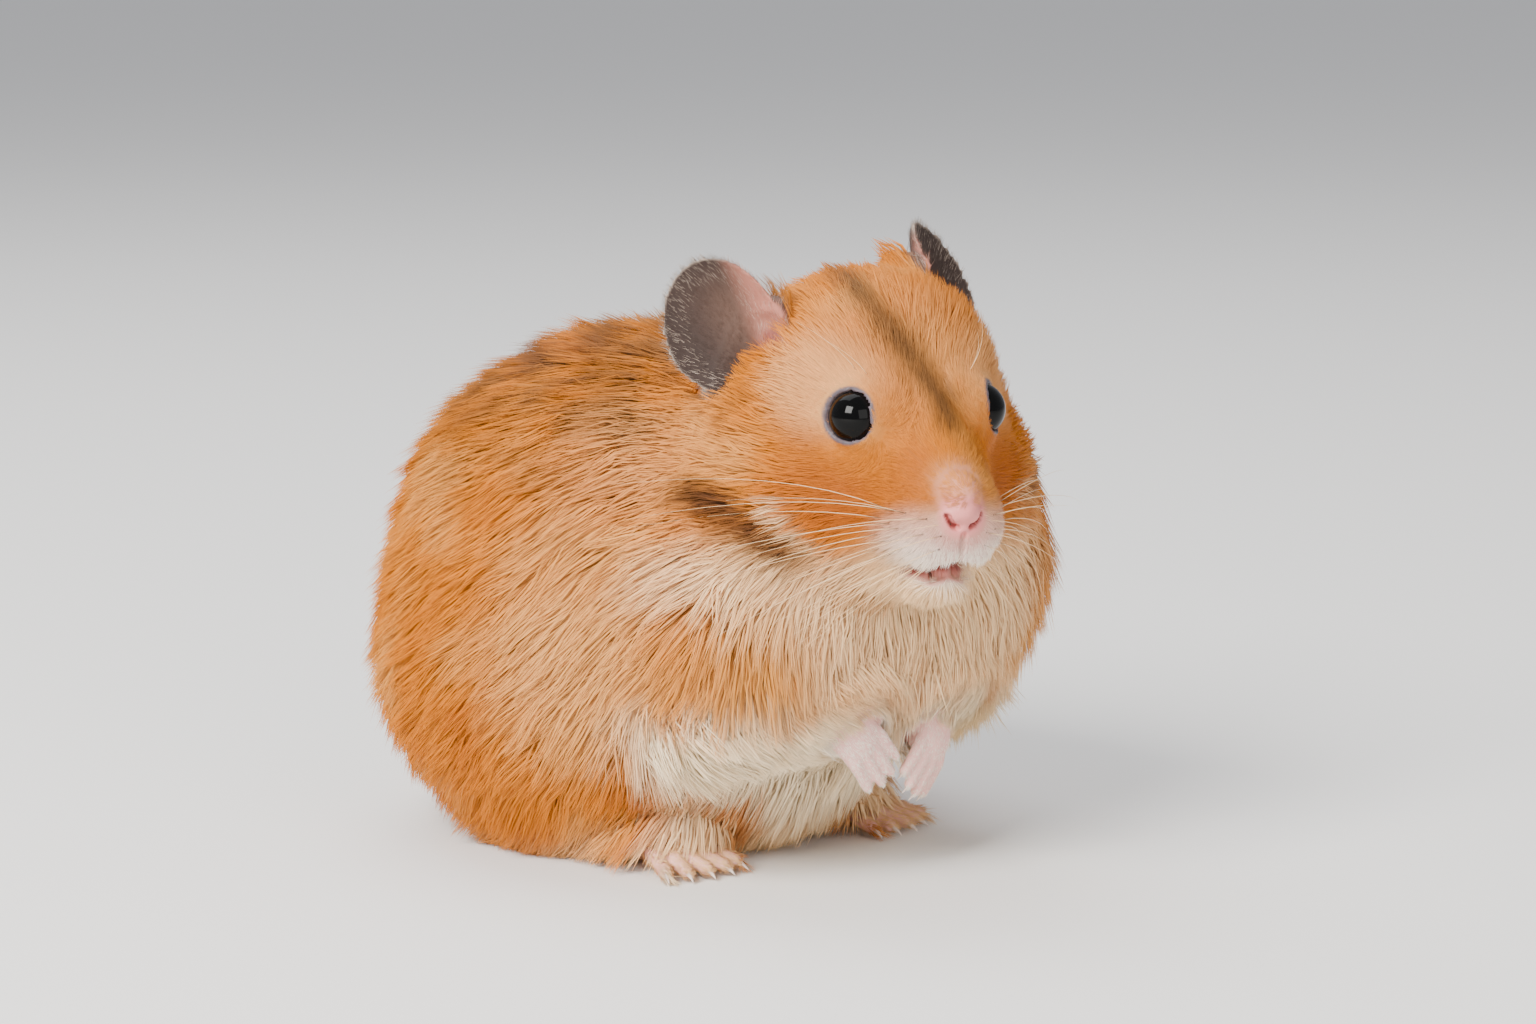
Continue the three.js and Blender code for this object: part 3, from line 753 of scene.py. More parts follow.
def muzzle(shape):
    """Nose pad with its wings, upper lips, lower lip and chin."""
    ball(shape, (0, -22.4, -1.9), (2.2, 2.1, 1.7), HEAD)
    ball(shape, (0, -20.4, 0.0), (2.7, 3.6, 2.1), HEAD)
    ball(shape, (0, -22.4, -4.0), (0.9, 1.7, 1.5), HEAD)
    for _, side in SIDES:
        ball(shape, (1.45 * side, -22.3, -2.5), (1.25, 1.7, 1.2), HEAD)
        ball(shape, (2.6 * side, -20.3, -6.9), (3.0, 3.2, 3.1), HEAD)
    ball(shape, (0, -20.0, -12.2), (2.9, 2.0, 1.4), HEAD)
    ball(shape, (0, -17.6, -13.2), (3.8, 3.4, 2.2), HEAD)


def tail(shape):
    rod(shape, TAIL, (2.3, 1.6, 0.9))


def carve(places, normals, line, width, depth):
    """Sinks a groove along a line on the front of the muzzle."""
    share = on_front(seen_from(HEAD, places), line, width)
    return places - normals * (depth * share)[:, None]


def carve_details(mesh):
    """Sinks the lines of the muzzle, and opens a socket in the skin for each eye."""
    places, normals = spots(mesh), spot_normals(mesh)
    for line, width, depth in GROOVES:
        places = carve(places, normals, line, width, depth)
    for _, side in SIDES:
        own, around = round_eye(places, side)
        inside = np.linalg.norm(own, axis=1) < EYE_RADIUS + 0.08
        inside |= (around < EYE_OPENING - 0.05) & (own[:, 2] > 0) & (own[:, 2] < 2 * EYE_RADIUS)
        floor = -np.sqrt(np.maximum((EYE_RADIUS + 0.15) ** 2 - around**2, 0))
        slope = LID_HEIGHT + 0.2 + np.maximum(around - EYE_OPENING - 0.4, 0) * 0.5
        close = (around < 9.5) & (own[:, 2] > 0) & (own[:, 2] < 2.6 * EYE_RADIUS) & ~inside
        sunk = mixed(own[:, 2], np.minimum(own[:, 2], slope), fade((9.5 - around) / 4.5))
        own[close, 2] = sunk[close]
        inside |= close
        sink = inside & ~close
        own[sink, 2] = np.minimum(own[sink, 2], floor[sink])
        back = np.array(eye_frame(side))
        places[inside] = own[inside] @ back[:3, :3].T + back[:3, 3]
    places[:, 2] = np.maximum(places[:, 2], 0.02)
    move_spots(mesh, places)


def blend_round_eyes(mesh):
    """Runs the skin round each eye into the face, from the edge of the lids outwards."""
    places = spots(mesh)
    near = np.full(len(places), np.inf)
    for _, side in SIDES:
        own, around = round_eye(places, side)
        near = np.minimum(near, np.where(np.abs(own[:, 2] - 3) < 4.5, around, np.inf))
    shape = bmesh.new()
    shape.from_mesh(mesh)
    shape.verts.ensure_lookup_table()
    for inner, outer, times in EYE_BLENDS:
        ring = [shape.verts[int(n)] for n in np.nonzero((near > inner) & (near < outer))[0]]
        for _ in range(times):
            bmesh.ops.smooth_vert(
                shape, verts=ring, factor=0.5, use_axis_x=True, use_axis_y=True, use_axis_z=True,
            )
    shape.to_mesh(mesh)
    shape.free()


def refine(mesh, near, reach):
    """Divides the faces near a point, for the finest shapes."""
    shape = bmesh.new()
    shape.from_mesh(mesh)
    centre = Vector(near)
    edges = [e for e in shape.edges if (e.verts[0].co - centre).length < reach]
    bmesh.ops.subdivide_edges(shape, edges=edges, cuts=1, smooth=0.6, use_grid_fill=True)
    bmesh.ops.triangulate(shape, faces=[f for f in shape.faces if len(f.verts) > 3])
    shape.to_mesh(mesh)
    shape.free()


def build_skin():
    """The whole animal's skin in one closed surface."""
    blank = body_blank()
    shape = bmesh.new()
    shape.from_mesh(blank.data)
    discard(blank)
    for name, side in SIDES:
        pinna(shape, name)
        forepaw(shape, side)
        hind_foot(shape, side)
        lids(shape, side)
    muzzle(shape)
    tail(shape)
    skin = object_of(shape, "skin")
    melt(skin, SKIN_VOXEL)
    places = spots(skin.data)
    head = seen_from(HEAD, places)
    keep = within(head, (0, -12, 0), (16, 18, 18), 0.3)
    for name, side in SIDES:
        keep = np.maximum(keep, ear_share(head, name))
        keep = np.maximum(keep, paw_share(places, side))
        keep = np.maximum(keep, foot_share(places, side))
    weigh(skin, "thin", keep < 0.5)
    soften(skin, 2)
    fewer = skin.modifiers.new("fewer", "DECIMATE")
    fewer.ratio = min(1.0, SKIN_TRIANGLES / (2 * len(skin.data.polygons)))
    fewer.vertex_group = "thin"
    settle(skin)
    refine(skin.data, HEAD @ Vector((0, -21.5, -4)), 7.5)
    carve_details(skin.data)
    blend_round_eyes(skin.data)
    return skin


# ---- attributes and maps


def give_colours(mesh, name, colours):
    layer = mesh.color_attributes.new(name, "FLOAT_COLOR", "POINT")
    full = np.ones((len(colours), 4), np.float32)
    full[:, :3] = colours
    layer.data.foreach_set("color", full.ravel())


def give_values(mesh, name, values):
    layer = mesh.attributes.new(name, "FLOAT", "POINT")
    layer.data.foreach_set("value", values.astype(np.float32))


def unwrap(made):
    """A map of the skin's own surface, in many small pieces."""
    made.data.uv_layers.new(name="OFBake")
    bpy.context.view_layer.objects.active = made
    made.select_set(True)
    bpy.ops.object.mode_set(mode="EDIT")
    bpy.ops.mesh.select_all(action="SELECT")
    bpy.ops.uv.smart_project(angle_limit=math.radians(66), island_margin=0.002)
    bpy.ops.object.mode_set(mode="OBJECT")
    made.select_set(False)


def finish_piece(made, material):
    """Brings a piece to metres, shades it smooth, and sets it on the animal."""
    made.data.transform(Matrix.Scale(MM, 4))
    made.data.polygons.foreach_set("use_smooth", np.ones(len(made.data.polygons), bool))
    made.data.materials.clear()
    made.data.materials.append(material)
    made.data.update()
    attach(made, "root")


# ---- materials


def new_material(name, roughness, specular=0.5):
    material = bpy.data.materials.new(name)
    material.use_nodes = True
    shader = material.node_tree.nodes["Principled BSDF"]
    shader.inputs["Roughness"].default_value = roughness
    shader.inputs["Specular IOR Level"].default_value = specular
    return material, shader


def add_node(material, kind, feeds=(), **values):
    """A shader node, with the values of its sockets and the outputs that feed them."""
    made = material.node_tree.nodes.new("ShaderNode" + kind)
    for name, value in values.items():
        made.inputs[name.replace("_", " ")].default_value = value
    for socket, source in feeds:
        material.node_tree.links.new(source, made.inputs[socket])
    return made


def feed(material, source, shader, socket):
    material.node_tree.links.new(source, shader.inputs[socket])


def attribute(material, name, output="Fac"):
    made = add_node(material, "Attribute")
    made.attribute_name = name
    return made.outputs[output]


def ranged(material, source, low, high):
    """A value from 0 to 1 spread out from low to high."""
    return add_node(material, "MapRange", [("Value", source)], To_Min=low, To_Max=high).outputs["Result"]


def shaded(material, amount):
    """The markings with their painted shade, made darker or lighter by an amount."""
    colour = attribute(material, "coat_colour", "Color")
    made = add_node(material, "VectorMath")
    made.operation = "SCALE"
    feed(material, colour, made, 0)
    feed(material, amount, made, "Scale")
    return made.outputs["Vector"]


def ramp(material, source, low, high, top=1.0):
    """From one colour to another, as a value rises from 0 to a top."""
    made = add_node(material, "ValToRGB", [("Fac", source)])
    made.color_ramp.elements[0].color = (*low, 1)
    made.color_ramp.elements[1].color = (*high, 1)
    made.color_ramp.elements[1].position = top
    return made.outputs["Color"]


def skin_material():
    """Skin: the markings and painted shade, with fine pores in relief, and a moister gloss where it is naked.
    """
    material, shader = new_material("skin", SKIN_DRY, 0.35)
    where = add_node(material, "TexCoord").outputs["Object"]
    grain = add_node(material, "TexNoise", [("Vector", where)], Scale=PORES, Detail=3)
    relief = add_node(
        material, "Bump", [("Height", grain.outputs["Fac"])], Strength=0.25, Distance=PORE_DEPTH,
    )
    feed(material, relief.outputs["Normal"], shader, "Normal")
    blotch = add_node(material, "TexNoise", [("Vector", where)], Scale=BLOTCHES)
    amount = ranged(material, blotch.outputs["Fac"], 0.86, 1.08)
    feed(material, shaded(material, amount), shader, "Base Color")
    feed(material, ranged(material, attribute(material, "bare"), SKIN_DRY, SKIN_MOIST), shader, "Roughness")
    return material


def coat_material():
    """Hair: the markings and painted shade, darker at the root and paler at the tip, each lock with its own
    tint.
    """
    material, shader = new_material("coat", 0.6, 0.16)
    rise = ranged(material, attribute(material, "along"), 0.86, 1.08)
    both = add_node(material, "Math", [(0, rise), (1, attribute(material, "tint"))])
    both.operation = "MULTIPLY"
    feed(material, shaded(material, both.outputs["Value"]), shader, "Base Color")
    return material


def eye_material():
    """A wet eye, nearly black, a little browner towards its rim."""
    material, shader = new_material("eye", 0.05, 0.13)
    colour = ramp(material, attribute(material, "look"), EYE_BROWN, EYE_BLACK, 0.72)
    feed(material, colour, shader, "Base Color")
    return material


def claw_material():
    """Pale horn, pinker towards the quick."""
    material, shader = new_material("claw", 0.35)
    feed(material, ramp(material, attribute(material, "along"), QUICK_PINK, HORN), shader, "Base Color")
    return material


def whisker_material():
    material, shader = new_material("whisker", 0.35)
    feed(material, attribute(material, "coat_colour", "Color"), shader, "Base Color")
    return material


# ---- eyes, claws and whiskers


def build_eye(name, side, material):
    """An eyeball with the clear bulge of its cornea."""
    shape = bmesh.new()
    bmesh.ops.create_uvsphere(shape, u_segments=48, v_segments=32, radius=EYE_RADIUS)
    for vert in shape.verts:
        front = vert.co.z / EYE_RADIUS
        vert.co *= 1 + 0.05 * max(0.0, front - 0.35) ** 1.5
    shape.transform(eye_frame(side))
    eye = object_of(shape, f"eyeball_{name}")
    look = seen_from(eye_frame(side), spots(eye.data))[:, 2] / EYE_RADIUS
    give_values(eye.data, "look", fade(look))
    finish_piece(eye, material)
    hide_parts(f"eye_{name}")


def cane(shape, length, radii, sides, cuts):
    """The new points of a tapering rod that stands on the origin, in even steps along its length."""
    ends = bmesh.ops.create_cone(
        shape, cap_ends=True, segments=sides, radius1=radii[0], radius2=radii[1],
        depth=length, matrix=Matrix.Translation((0, 0, length / 2)),
    )["verts"]
    edges = {e for v in ends for e in v.link_edges}
    upright = [e for e in edges if abs(e.verts[0].co.z - e.verts[1].co.z) > length / 2]
    bmesh.ops.subdivide_edges(shape, edges=upright, cuts=cuts)
    made = [v for v in shape.verts if not v.tag]
    for vert in made:
        vert.tag = True
    return made


def build_claws(material):
    feet = (
        ("forepaw", forepaw_frame, FORE_DIGITS, FORE_CLAW),
        ("hindfoot", hind_foot_frame, HIND_DIGITS, HIND_CLAW),
    )
    for foot, place_of, kind, length in feet:
        for name, side in SIDES:
            shape = bmesh.new()
            for path, ahead in digit_paths(side=side, **kind):
                start = path[-1] + ahead.normalized() * kind["thickness"] * 0.28
                turn = ahead.to_track_quat("Z", "Y").to_matrix().to_4x4()
                at = place_of(side) @ Matrix.Translation(start) @ turn
                for vert in cane(shape, length, (length * 0.25, length * 0.03), 10, 4):
                    vert.co.y -= 0.2 * length * (vert.co.z / length) ** 2
                    vert.co = at @ vert.co
            made = object_of(shape, f"claws_{foot}_{name}")
            heights = spots(made.data)
            heights[:, 2] = np.maximum(heights[:, 2], 0.02)
            move_spots(made.data, heights)
            give_values(made.data, "along", np.full(len(heights), 0.7))
            finish_piece(made, material)


def build_whiskers(skin_tree, material):
    """Long fine whiskers in rows on each lip pad, swept back, and a few over each eye."""
    for name, side in SIDES:
        shape = bmesh.new()
        roots = []
        for row in range(WHISKER_ROWS):
            for column in range(WHISKER_COLUMNS):
                root = Vector(((2.6 + 0.7 * column) * side, -21.6 + 1.15 * column, -3.8 - 1.15 * row))
                root = skin_tree.find_nearest(HEAD @ root)[0]
                length = 11 + 4.0 * column + float(dice.uniform(-2, 3))
                droop = 0.16 + 0.2 * row
                way = Vector((
                    side * (0.86 + float(dice.uniform(-0.12, 0.12))),
                    -0.1 + 0.2 * column + float(dice.uniform(-0.1, 0.1)),
                    0.25 - droop + float(dice.uniform(-0.1, 0.1)),
                ))
                way = (HEAD.to_3x3() @ way).normalized()
                bend = Vector((0, 0.35, -0.28)) * float(dice.uniform(0.5, 1.2))
                add_whisker(shape, root, way, bend, length, WHISKER_RADIUS)
                at = Matrix.Translation(root)
                bmesh.ops.create_icosphere(shape, subdivisions=1, radius=WHISKER_FOOT, matrix=at)
                for vert in shape.verts:
                    vert.tag = True
                roots.append(root)
        for n in range(2):
            root = skin_tree.find_nearest(HEAD @ Vector(((7.2 + n * 1.1) * side, -8.5 + n, 11)))[0]
            way = (HEAD.to_3x3() @ Vector((0.55 * side, 0.2 + 0.1 * n, 0.75))).normalized()
            add_whisker(shape, root, way, Vector((0, 0.5, -0.1)), 6 + 2 * n, BROW_WHISKER_RADIUS)
        made = object_of(shape, f"whiskers_{name}")
        places = spots(made.data)
        off_root = np.linalg.norm(places[:, None] - np.array(roots)[None], axis=2).min(axis=1)
        shades = mixed(np.tile(CREAM, (len(places), 1)), DUSK, off_root < WHISKER_FOOT + 0.05)
        give_colours(made.data, "coat_colour", shades)
        finish_piece(made, material)


def add_whisker(shape, root, way, bend, length, radius):
    """One whisker: a fine tapering rod that curves as it goes."""
    turn = way.to_track_quat("Z", "Y").to_matrix()
    for vert in cane(shape, length, (radius, WHISKER_TIP), 4, 7):
        share = vert.co.z / length
        vert.co = root + turn @ vert.co + bend * (length * share * share)


# ---- the coat


def hair_flow(points, normals):
    """The way the hair lies: back from the nose over the head, and back and down over the body."""
    head = seen_from(HEAD, points)
    x, y, z = points.T
    flow = np.tile(np.array((0.0, 0.62, -0.86)), (len(points), 1))
    front = fade((-normals[:, 1] - 0.1) / 0.6) * fade((-20 - y) / 12)
    flow = mixed(flow, (0.0, 0.15, -1.0), front)
    flow[:, 0] += 0.25 * np.sign(x) * fade((z - 45) / 12)
    from_nose = direction_from(HEAD, head - np.array((0, -26, -1.0)))
    from_nose = unit(from_nose) + direction_from(HEAD, np.array([[0, 0.25, -0.18]]))
    flow = mixed(flow, from_nose, within(head, (0, 0, 0), (26, 25, 21), 0.25))
    for name, side in SIDES:
        eye = np.array(mirrored(EYE_CENTRE, side))
        away = unit(direction_from(HEAD, head - eye))
        close = within(head, eye, (8, 8, 8), 0.35)
        inward = np.minimum(np.sum(unit(flow) * away, axis=1), 0)
        flow = unit(flow) + away * ((0.2 - 1.1 * inward) * close)[:, None]
        arm = Vector(staggered(WRIST, side)) - Vector(mirrored(ELBOW, side))
        on_arm = near_path(points, (mirrored(ELBOW, side), staggered(WRIST, side)), 8, 0.3)
        flow = mixed(flow, np.array(arm.normalized()) + np.array((0, 0, -0.5)), on_arm * 0.85)
        ahead = np.array(forepaw_frame(side))[:3, 1] * -1
        flow = mixed(flow, ahead, paw_share(points, side))
        ahead = np.array(hind_foot_frame(side))[:3, 1] * -1
        flow = mixed(flow, ahead, foot_share(points, side))
        ear = EAR_MAPS[name]
        a, b, _ = ear.read(head)
        outward = np.outer(a, ear.across) * 0.8 + np.outer((b + 1.1) / 2, ear.along) * 1.3
        flow = mixed(flow, direction_from(HEAD, outward), ear_share(head, name))
    flow = mixed(flow, (0.05, 0.9, -0.3), tail_share(points))
    flow -= normals * np.sum(flow * normals, axis=1, keepdims=True)
    return unit(flow)


class Ground:
    """The skin's triangles, as the ground that the hair grows from."""

    def __init__(self, skin):
        mesh = skin.data
        mesh.calc_loop_triangles()
        count = len(mesh.loop_triangles)
        corners = np.empty(count * 3, np.int32)
        loops = np.empty(count * 3, np.int32)
        mesh.loop_triangles.foreach_get("vertices", corners)
        mesh.loop_triangles.foreach_get("loops", loops)
        chart = np.empty(len(mesh.loops) * 2, np.float32)
        mesh.uv_layers["OFBake"].data.foreach_get("uv", chart)
        self.corners = corners.reshape(-1, 3)
        self.places = spots(mesh)
        self.normals = spot_normals(mesh)
        self.charts = chart.reshape(-1, 2)[loops].reshape(-1, 3, 2)
        a, b, c = (self.places[self.corners[:, k]] for k in range(3))
        self.areas = np.linalg.norm(np.cross(b - a, c - a), axis=1) / 2
        self.middles = (a + b + c) / 3

    def sow(self, density):
        """Roots scattered over the triangles, given how many there are to a square millimetre."""
        share = self.areas * density
        ends = np.cumsum(share)
        count = int(ends[-1])
        marks = (np.arange(count) + dice.uniform(0, 1, count)) * (ends[-1] / count)
        face = np.searchsorted(ends, marks).clip(0, len(ends) - 1)
        u, v = np.sqrt(dice.uniform(0, 1, count)), dice.uniform(0, 1, count)
        parts = np.stack([1 - u, u * (1 - v), u * v], axis=1)[:, :, None]
        corners = self.corners[face]
        roots = (self.places[corners] * parts).sum(1)
        normals = unit((self.normals[corners] * parts).sum(1))
        charts = (self.charts[face] * parts).sum(1)
        return roots, normals, charts


def turned(flow, normals, angle):
    """Directions turned about the normals."""
    side = np.cross(normals, flow)
    return flow * np.cos(angle)[:, None] + side * np.sin(angle)[:, None]


def leaning(flow, normals, angle):
    """Directions raised off the skin by an angle."""
    return flow * np.cos(angle)[:, None] + normals * np.sin(angle)[:, None]


def shown_at(roots, normals, lie, hair):
    """Where the hair's colour shows: over the skin and along the lie, so that markings keep their place."""
    return roots + normals * (hair * COAT_RISE)[:, None] + lie * (hair * SHOWN_SHARE)[:, None]


def gathered(roots, tips, reach, spacing, pull):
    """Tips drawn together into locks, round centres scattered among the roots."""
    count = max(1, int(len(roots) * spacing))
    centres = dice.choice(len(roots), count, replace=False)
    tree = kdtree.KDTree(count)
    for n, k in enumerate(centres):
        tree.insert(roots[k], n)
    tree.balance()
    lead = np.array([centres[tree.find(r)[1]] for r in roots])
    draw = pull * np.clip(1.4 - np.linalg.norm(roots - roots[lead], axis=1) / reach, 0, 1)
    return tips + (tips[lead] - tips) * draw[:, None]


def tuft_mesh(name, roots, middles, tips, normals, widths, charts, colours, tints):
    """Closed three-sided locks of hair, each through a root, a middle and a tip."""
    count = len(roots)
    along = unit(tips - roots)
    side = unit(np.cross(normals, along))
    rise = np.cross(along, side)
    half = (widths / 2)[:, None]
    bent = middles is not None
    rings = [(roots, 0.85)] + ([(middles, 1.0)] if bent else [])
    layers = []
    for centre, share in rings:
        layers.append(centre + side * half * share)
        layers.append(centre + rise * half * share * 0.8)
        layers.append(centre - side * half * share)
    layers.append(tips)
    per = len(layers)
    places = np.stack(layers, axis=1).reshape(-1, 3)
    places[:, 2] = np.maximum(places[:, 2], 0.05)
    if bent:
        faces = [(0, 1, 4), (0, 4, 3), (1, 2, 5), (1, 5, 4), (2, 0, 3), (2, 3, 5)]
        faces += [(3, 4, 6), (4, 5, 6), (5, 3, 6), (2, 1, 0)]
        shares = (0, 0, 0, 0.5, 0.5, 0.5, 1)
    else:
        faces = [(0, 1, 3), (1, 2, 3), (2, 0, 3), (2, 1, 0)]
        shares = (0, 0, 0, 1)
    faces = np.array(faces)
    corners = (faces[None] + per * np.arange(count)[:, None, None]).reshape(-1, 3)
    mesh = bpy.data.meshes.new(name)
    mesh.vertices.add(len(places))
    mesh.vertices.foreach_set("co", places.astype(np.float32).ravel())
    mesh.loops.add(corners.size)
    mesh.loops.foreach_set("vertex_index", corners.astype(np.int32).ravel())
    mesh.polygons.add(len(corners))
    mesh.polygons.foreach_set("loop_start", np.arange(0, corners.size, 3, dtype=np.int32))
    mesh.update(calc_edges=True)
    give_colours(mesh, "coat_colour", np.repeat(colours, per, axis=0))
    give_values(mesh, "along", np.tile(shares, count).astype(float))
    give_values(mesh, "tint", np.repeat(tints, per))
    patch = np.array([((k % 3) - 1, s - 0.5) for k, s in enumerate(shares)]) * CHART_PATCH
    patch[-1, 0] = 0
    chart = (charts[:, None] + patch[None]).reshape(-1, 2)[corners.ravel()]
    mesh.uv_layers.new(name="OFBake").data.foreach_set("uv", np.clip(chart, 0, 1).astype(np.float32).ravel())
    mesh.polygons.foreach_set("use_smooth", np.ones(len(mesh.polygons), bool))
    a, b, c = (places[corners[:, k]] for k in range(3))
    facing = unit(np.cross(b - a, c - a))
    soft = unit(facing * (1 - SOFTNESS) + np.repeat(normals, len(faces), axis=0) * SOFTNESS)
    lit = np.sum(soft * facing, axis=1, keepdims=True) > 0.1
    mesh.normals_split_custom_set(np.repeat(np.where(lit, soft, facing), 3, axis=0))
    made = bpy.data.objects.new(name, mesh)
    bpy.context.scene.collection.objects.link(made)
    return made


def off_eyes(points):
    """False over the open part of an eye."""
    clear = np.ones(len(points), bool)
    for _, side in SIDES:
        own, around = round_eye(points, side)
        clear &= (around > EYE_OPENING + 0.15) | (own[:, 2] < 0) | (own[:, 2] > 8)
    return clear


def coat_region(points, normals):
    """Which of the coat's pieces a root belongs to."""
    x, y, z = points.T
    region = np.where(x < 0, "flank_right", "flank_left").astype("<U20")
    region[(y > 12) & (x < 0)] = "rump_right"
    region[(y > 12) & (x >= 0)] = "rump_left"
    region[z > 52] = "back"
    region[(y < -24) & (z > 27)] = "neck"
    region[(y < -24) & (z <= 27)] = "chest"
    region[(z < 9) & (normals[:, 2] < 0)] = "belly"
    return region


def plant(name, chosen, material, middles=None, **hair):
    """One piece of the coat, from the hairs chosen for it."""
    own = {key: values[chosen] for key, values in hair.items()}
    piece = tuft_mesh(name, middles=None if middles is None else middles[chosen], **own)
    finish_piece(piece, material)


def grow_coat(ground, material):
    """Long bent locks on the body, and fine straight hair on the face, ears, paws and feet."""
    length = hair_length(ground.middles)
    bare = bare_share(ground.middles)
    head = seen_from(HEAD, ground.middles)
    ears = np.maximum(ear_share(head, "left"), ear_share(head, "right"))
    long_hair = fade((length - LONG_HAIR) / 1.2)
    sole = fade((0.5 - ground.middles[:, 2]) / 0.3)
    dense = QUICK_SHARE * (1 - sole) * (1 - bare)
    body_density = BODY_DENSITY * long_hair * dense
    fine_density = (1 - long_hair) * dense * FINE_DENSITY * np.clip(2.6 / np.maximum(length, 0.9), 0.8, 1.7)
    fine_density *= 1 - 0.6 * ears
    grow_locks(ground, material, body_density)
    grow_fine(ground, material, fine_density)


def grow_locks(ground, material, density):
    """The body's hair: bent locks over an undercoat of finer straight ones."""
    roots, normals, charts = ground.sow(density)
    count = len(roots)
    bent = dice.uniform(0, 1, count) < BENT_SHARE
    full = hair_length(roots)
    length = full * dice.uniform(0.78, 1.12, count) * np.where(bent, 1.0, UNDERCOAT)
    wave = cloudy(roots, 5.0, 6.0)
    lie = hair_flow(roots, normals)
    flow = turned(lie, normals, dice.normal(0, LOCK_STRAY, count) + LOCK_SWAY * wave)
    lift = np.radians(LOCK_LIFT + 9 * cloudy(roots, 3.5, 8.0) + dice.normal(0, 5, count))
    start = roots - normals * LOCK_ROOT
    middles = start + leaning(flow, normals, lift * 1.3) * (length * 0.45)[:, None]
    tips = middles + leaning(flow, normals, lift * 0.65) * (length * 0.55)[:, None]
    tips = gathered(roots, tips, LOCK_REACH, LOCK_CENTRES, 0.6)
    middles = gathered(roots, middles, LOCK_REACH, LOCK_CENTRES, 0.2)
    near_head = within(seen_from(HEAD, roots), (0, 0, 0), (27, 26, 22), 0.2)
    widths = mixed(np.where(bent, TOP_WIDTH, UNDER_WIDTH), NECK_WIDTH, near_head)
    widths = widths * dice.uniform(0.7, 1.25, count)
    colours = markings_and_shade(shown_at(roots, normals, lie, full))
    tints = np.clip(dice.normal(1.0, 0.07, count), 0.75, 1.25)
    region = coat_region(roots, normals)
    hair = dict(
        roots=start, tips=tips, normals=normals, widths=widths, charts=charts, colours=colours, tints=tints,
    )
    for name in sorted(set(region)):
        own = region == name
        plant(f"coat_{name}_top", own & bent, material, middles, **hair)
        plant(f"coat_{name}_under", own & ~bent, material, **hair)


def grow_fine(ground, material, density):
    roots, normals, charts = ground.sow(density)
    count = len(roots)
    head = seen_from(HEAD, roots)
    hair = hair_length(roots)
    length = hair * dice.uniform(0.75, 1.2, count)
    lie = hair_flow(roots, normals)
    flow = turned(lie, normals, dice.normal(0, FINE_STRAY, count))
    lift = np.radians(FINE_LIFT + 5 * cloudy(roots, 3.0, 9.0) + dice.normal(0, 4, count))
    start = roots - normals * FINE_ROOT
    tips = start + leaning(flow, normals, lift) * length[:, None]
    tips = gathered(roots, tips, 0.8, 0.06, 0.4)
    clear = off_eyes(tips) & off_eyes((start + tips) / 2)
    roots, normals, charts, head, hair, lie = (v[clear] for v in (roots, normals, charts, head, hair, lie))
    start, tips, count = start[clear], tips[clear], int(clear.sum())
    widths = (0.08 + 0.024 * hair) * dice.uniform(0.75, 1.25, count)
    colours = markings_and_shade(shown_at(roots, normals, lie, hair))
    pale = dice.uniform(0, 1, count)
    for name, ear in EAR_MAPS.items():
        on_ear = ear_share(head, name)
        a, b, c = ear.read(head)
        outer = np.maximum(fade((np.hypot(a, b) - 0.5) / 0.25), fade((a * ear.front - 0.25) / 0.2))
        shade = mixed(ear_colours(head, name), EAR_RIM, 0.7 * fade((pale - 0.5) / 0.3) * outer)
        behind = fade(-c - 0.4)
        shade = mixed(shade, GOLD * 0.8, 0.4 * behind)
        colours = mixed(colours, shade, on_ear)
        widths = widths * (1 - 0.5 * on_ear)
    tints = np.clip(dice.normal(1.0, 0.06, count), 0.8, 1.2)
    face = within(head, (0, 0, 0), (30, 30, 30), 0.1) > 0.5
    region = np.where(face, np.where(head[:, 0] < 0, "face_right", "face_left"), "limbs")
    for name in sorted(set(region)):
        plant(
            f"coat_{name}", region == name, material, roots=start, tips=tips, normals=normals,
            widths=widths, charts=charts, colours=colours, tints=tints,
        )


# ---- stage, lights and camera

AIM = (10.95, -1.77, 40.99)
VIEW_AZIMUTH = -45
VIEW_ELEVATION = 9
VIEW_DISTANCE = 557
LENS = 100
SENSOR = 36
FLOOR_SIZE = 6
FLOOR_COLOUR = (0.88, 0.86, 0.83, 1)
SKY_COLOUR = (0.9, 0.93, 1.0, 1)
SKY_STRENGTH = 0.56


def build_camera():
    azimuth, elevation = math.radians(VIEW_AZIMUTH), math.radians(VIEW_ELEVATION)
    back = Vector((
        math.sin(azimuth) * math.cos(elevation),
        -math.cos(azimuth) * math.cos(elevation),
        math.sin(elevation),
    ))
    camera = bpy.data.objects.new("camera", bpy.data.cameras.new("camera"))
    bpy.context.scene.collection.objects.link(camera)
    camera.data.lens = LENS
    camera.data.sensor_width = SENSOR
    camera.data.clip_start, camera.data.clip_end = 0.01, 20
    camera.location = (Vector(AIM) + back * VIEW_DISTANCE) * MM
    camera.rotation_euler = (-back).to_track_quat("-Z", "Y").to_euler()
    bpy.context.scene.camera = camera


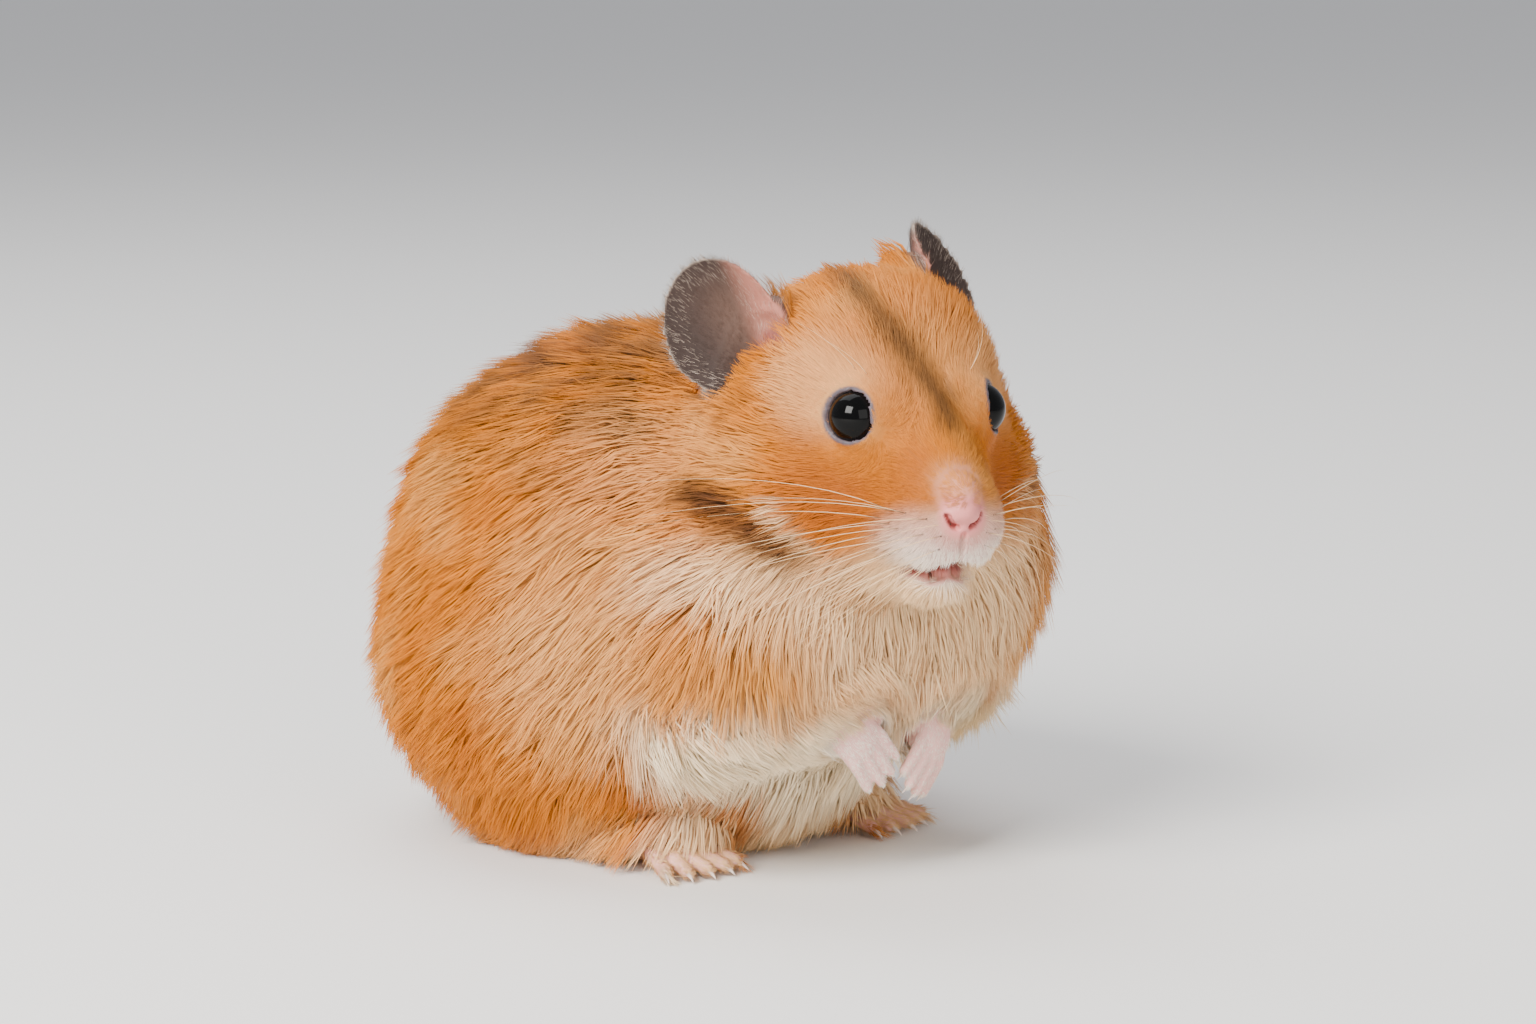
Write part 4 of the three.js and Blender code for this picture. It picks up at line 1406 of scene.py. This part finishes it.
def build_stage():
    """A wide pale floor under an even sky."""
    shape = bmesh.new()
    bmesh.ops.create_grid(shape, x_segments=2, y_segments=2, size=FLOOR_SIZE)
    floor = object_of(shape, "floor")
    material, shader = new_material("floor", 0.85)
    shader.inputs["Base Color"].default_value = FLOOR_COLOUR
    floor.data.materials.append(material)
    world = bpy.data.worlds.new("studio")
    bpy.context.scene.world = world
    world.use_nodes = True
    air = world.node_tree.nodes["Background"]
    air.inputs["Color"].default_value = SKY_COLOUR
    air.inputs["Strength"].default_value = SKY_STRENGTH


# Each lamp: its place and width in metres, its power in watts and its colour.
LAMPS = {
    "window": ((-0.75, -0.15, 0.6), 0.45, 19, (1.0, 0.98, 0.95)),
    "front": ((-0.25, -0.9, 0.35), 0.6, 3, (1.0, 0.97, 0.94)),
    "above": ((0.1, 0.35, 0.8), 0.7, 5, (0.96, 0.98, 1.0)),
}
LAMPS_AIM = Vector((0, -0.01, 0.04))


def add_lamp(name, place, width, power, colour):
    lamp = bpy.data.lights.new(name, "AREA")
    lamp.shape = "SQUARE"
    lamp.size = width
    lamp.energy = power
    lamp.color = colour
    made = bpy.data.objects.new(name, lamp)
    bpy.context.scene.collection.objects.link(made)
    made.location = place
    made.rotation_euler = (LAMPS_AIM - Vector(place)).to_track_quat("-Z", "Y").to_euler()


# ---- everything together


def main():
    build_camera()
    skin = build_skin()
    unwrap(skin)
    places = spots(skin.data)
    length = hair_length(places)
    normals = spot_normals(skin.data)
    colours = markings_and_shade(places + normals * (length * COAT_RISE)[:, None]) * 0.8
    give_colours(skin.data, "coat_colour", skin_colours(places, colours))
    give_values(skin.data, "bare", bare_share(places))
    ground = Ground(skin)
    tree = BVHTree.FromPolygons(ground.places.tolist(), ground.corners.tolist())
    grow_coat(ground, coat_material())
    finish_piece(skin, skin_material())
    flesh = [name for name in NODES if not name.startswith("eye_")]
    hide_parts(*flesh)
    eyes = eye_material()
    for name, side in SIDES:
        build_eye(name, side, eyes)
    build_claws(claw_material())
    build_whiskers(tree, whisker_material())
    build_stage()
    for name, lamp in LAMPS.items():
        add_lamp(name, *lamp)


main()
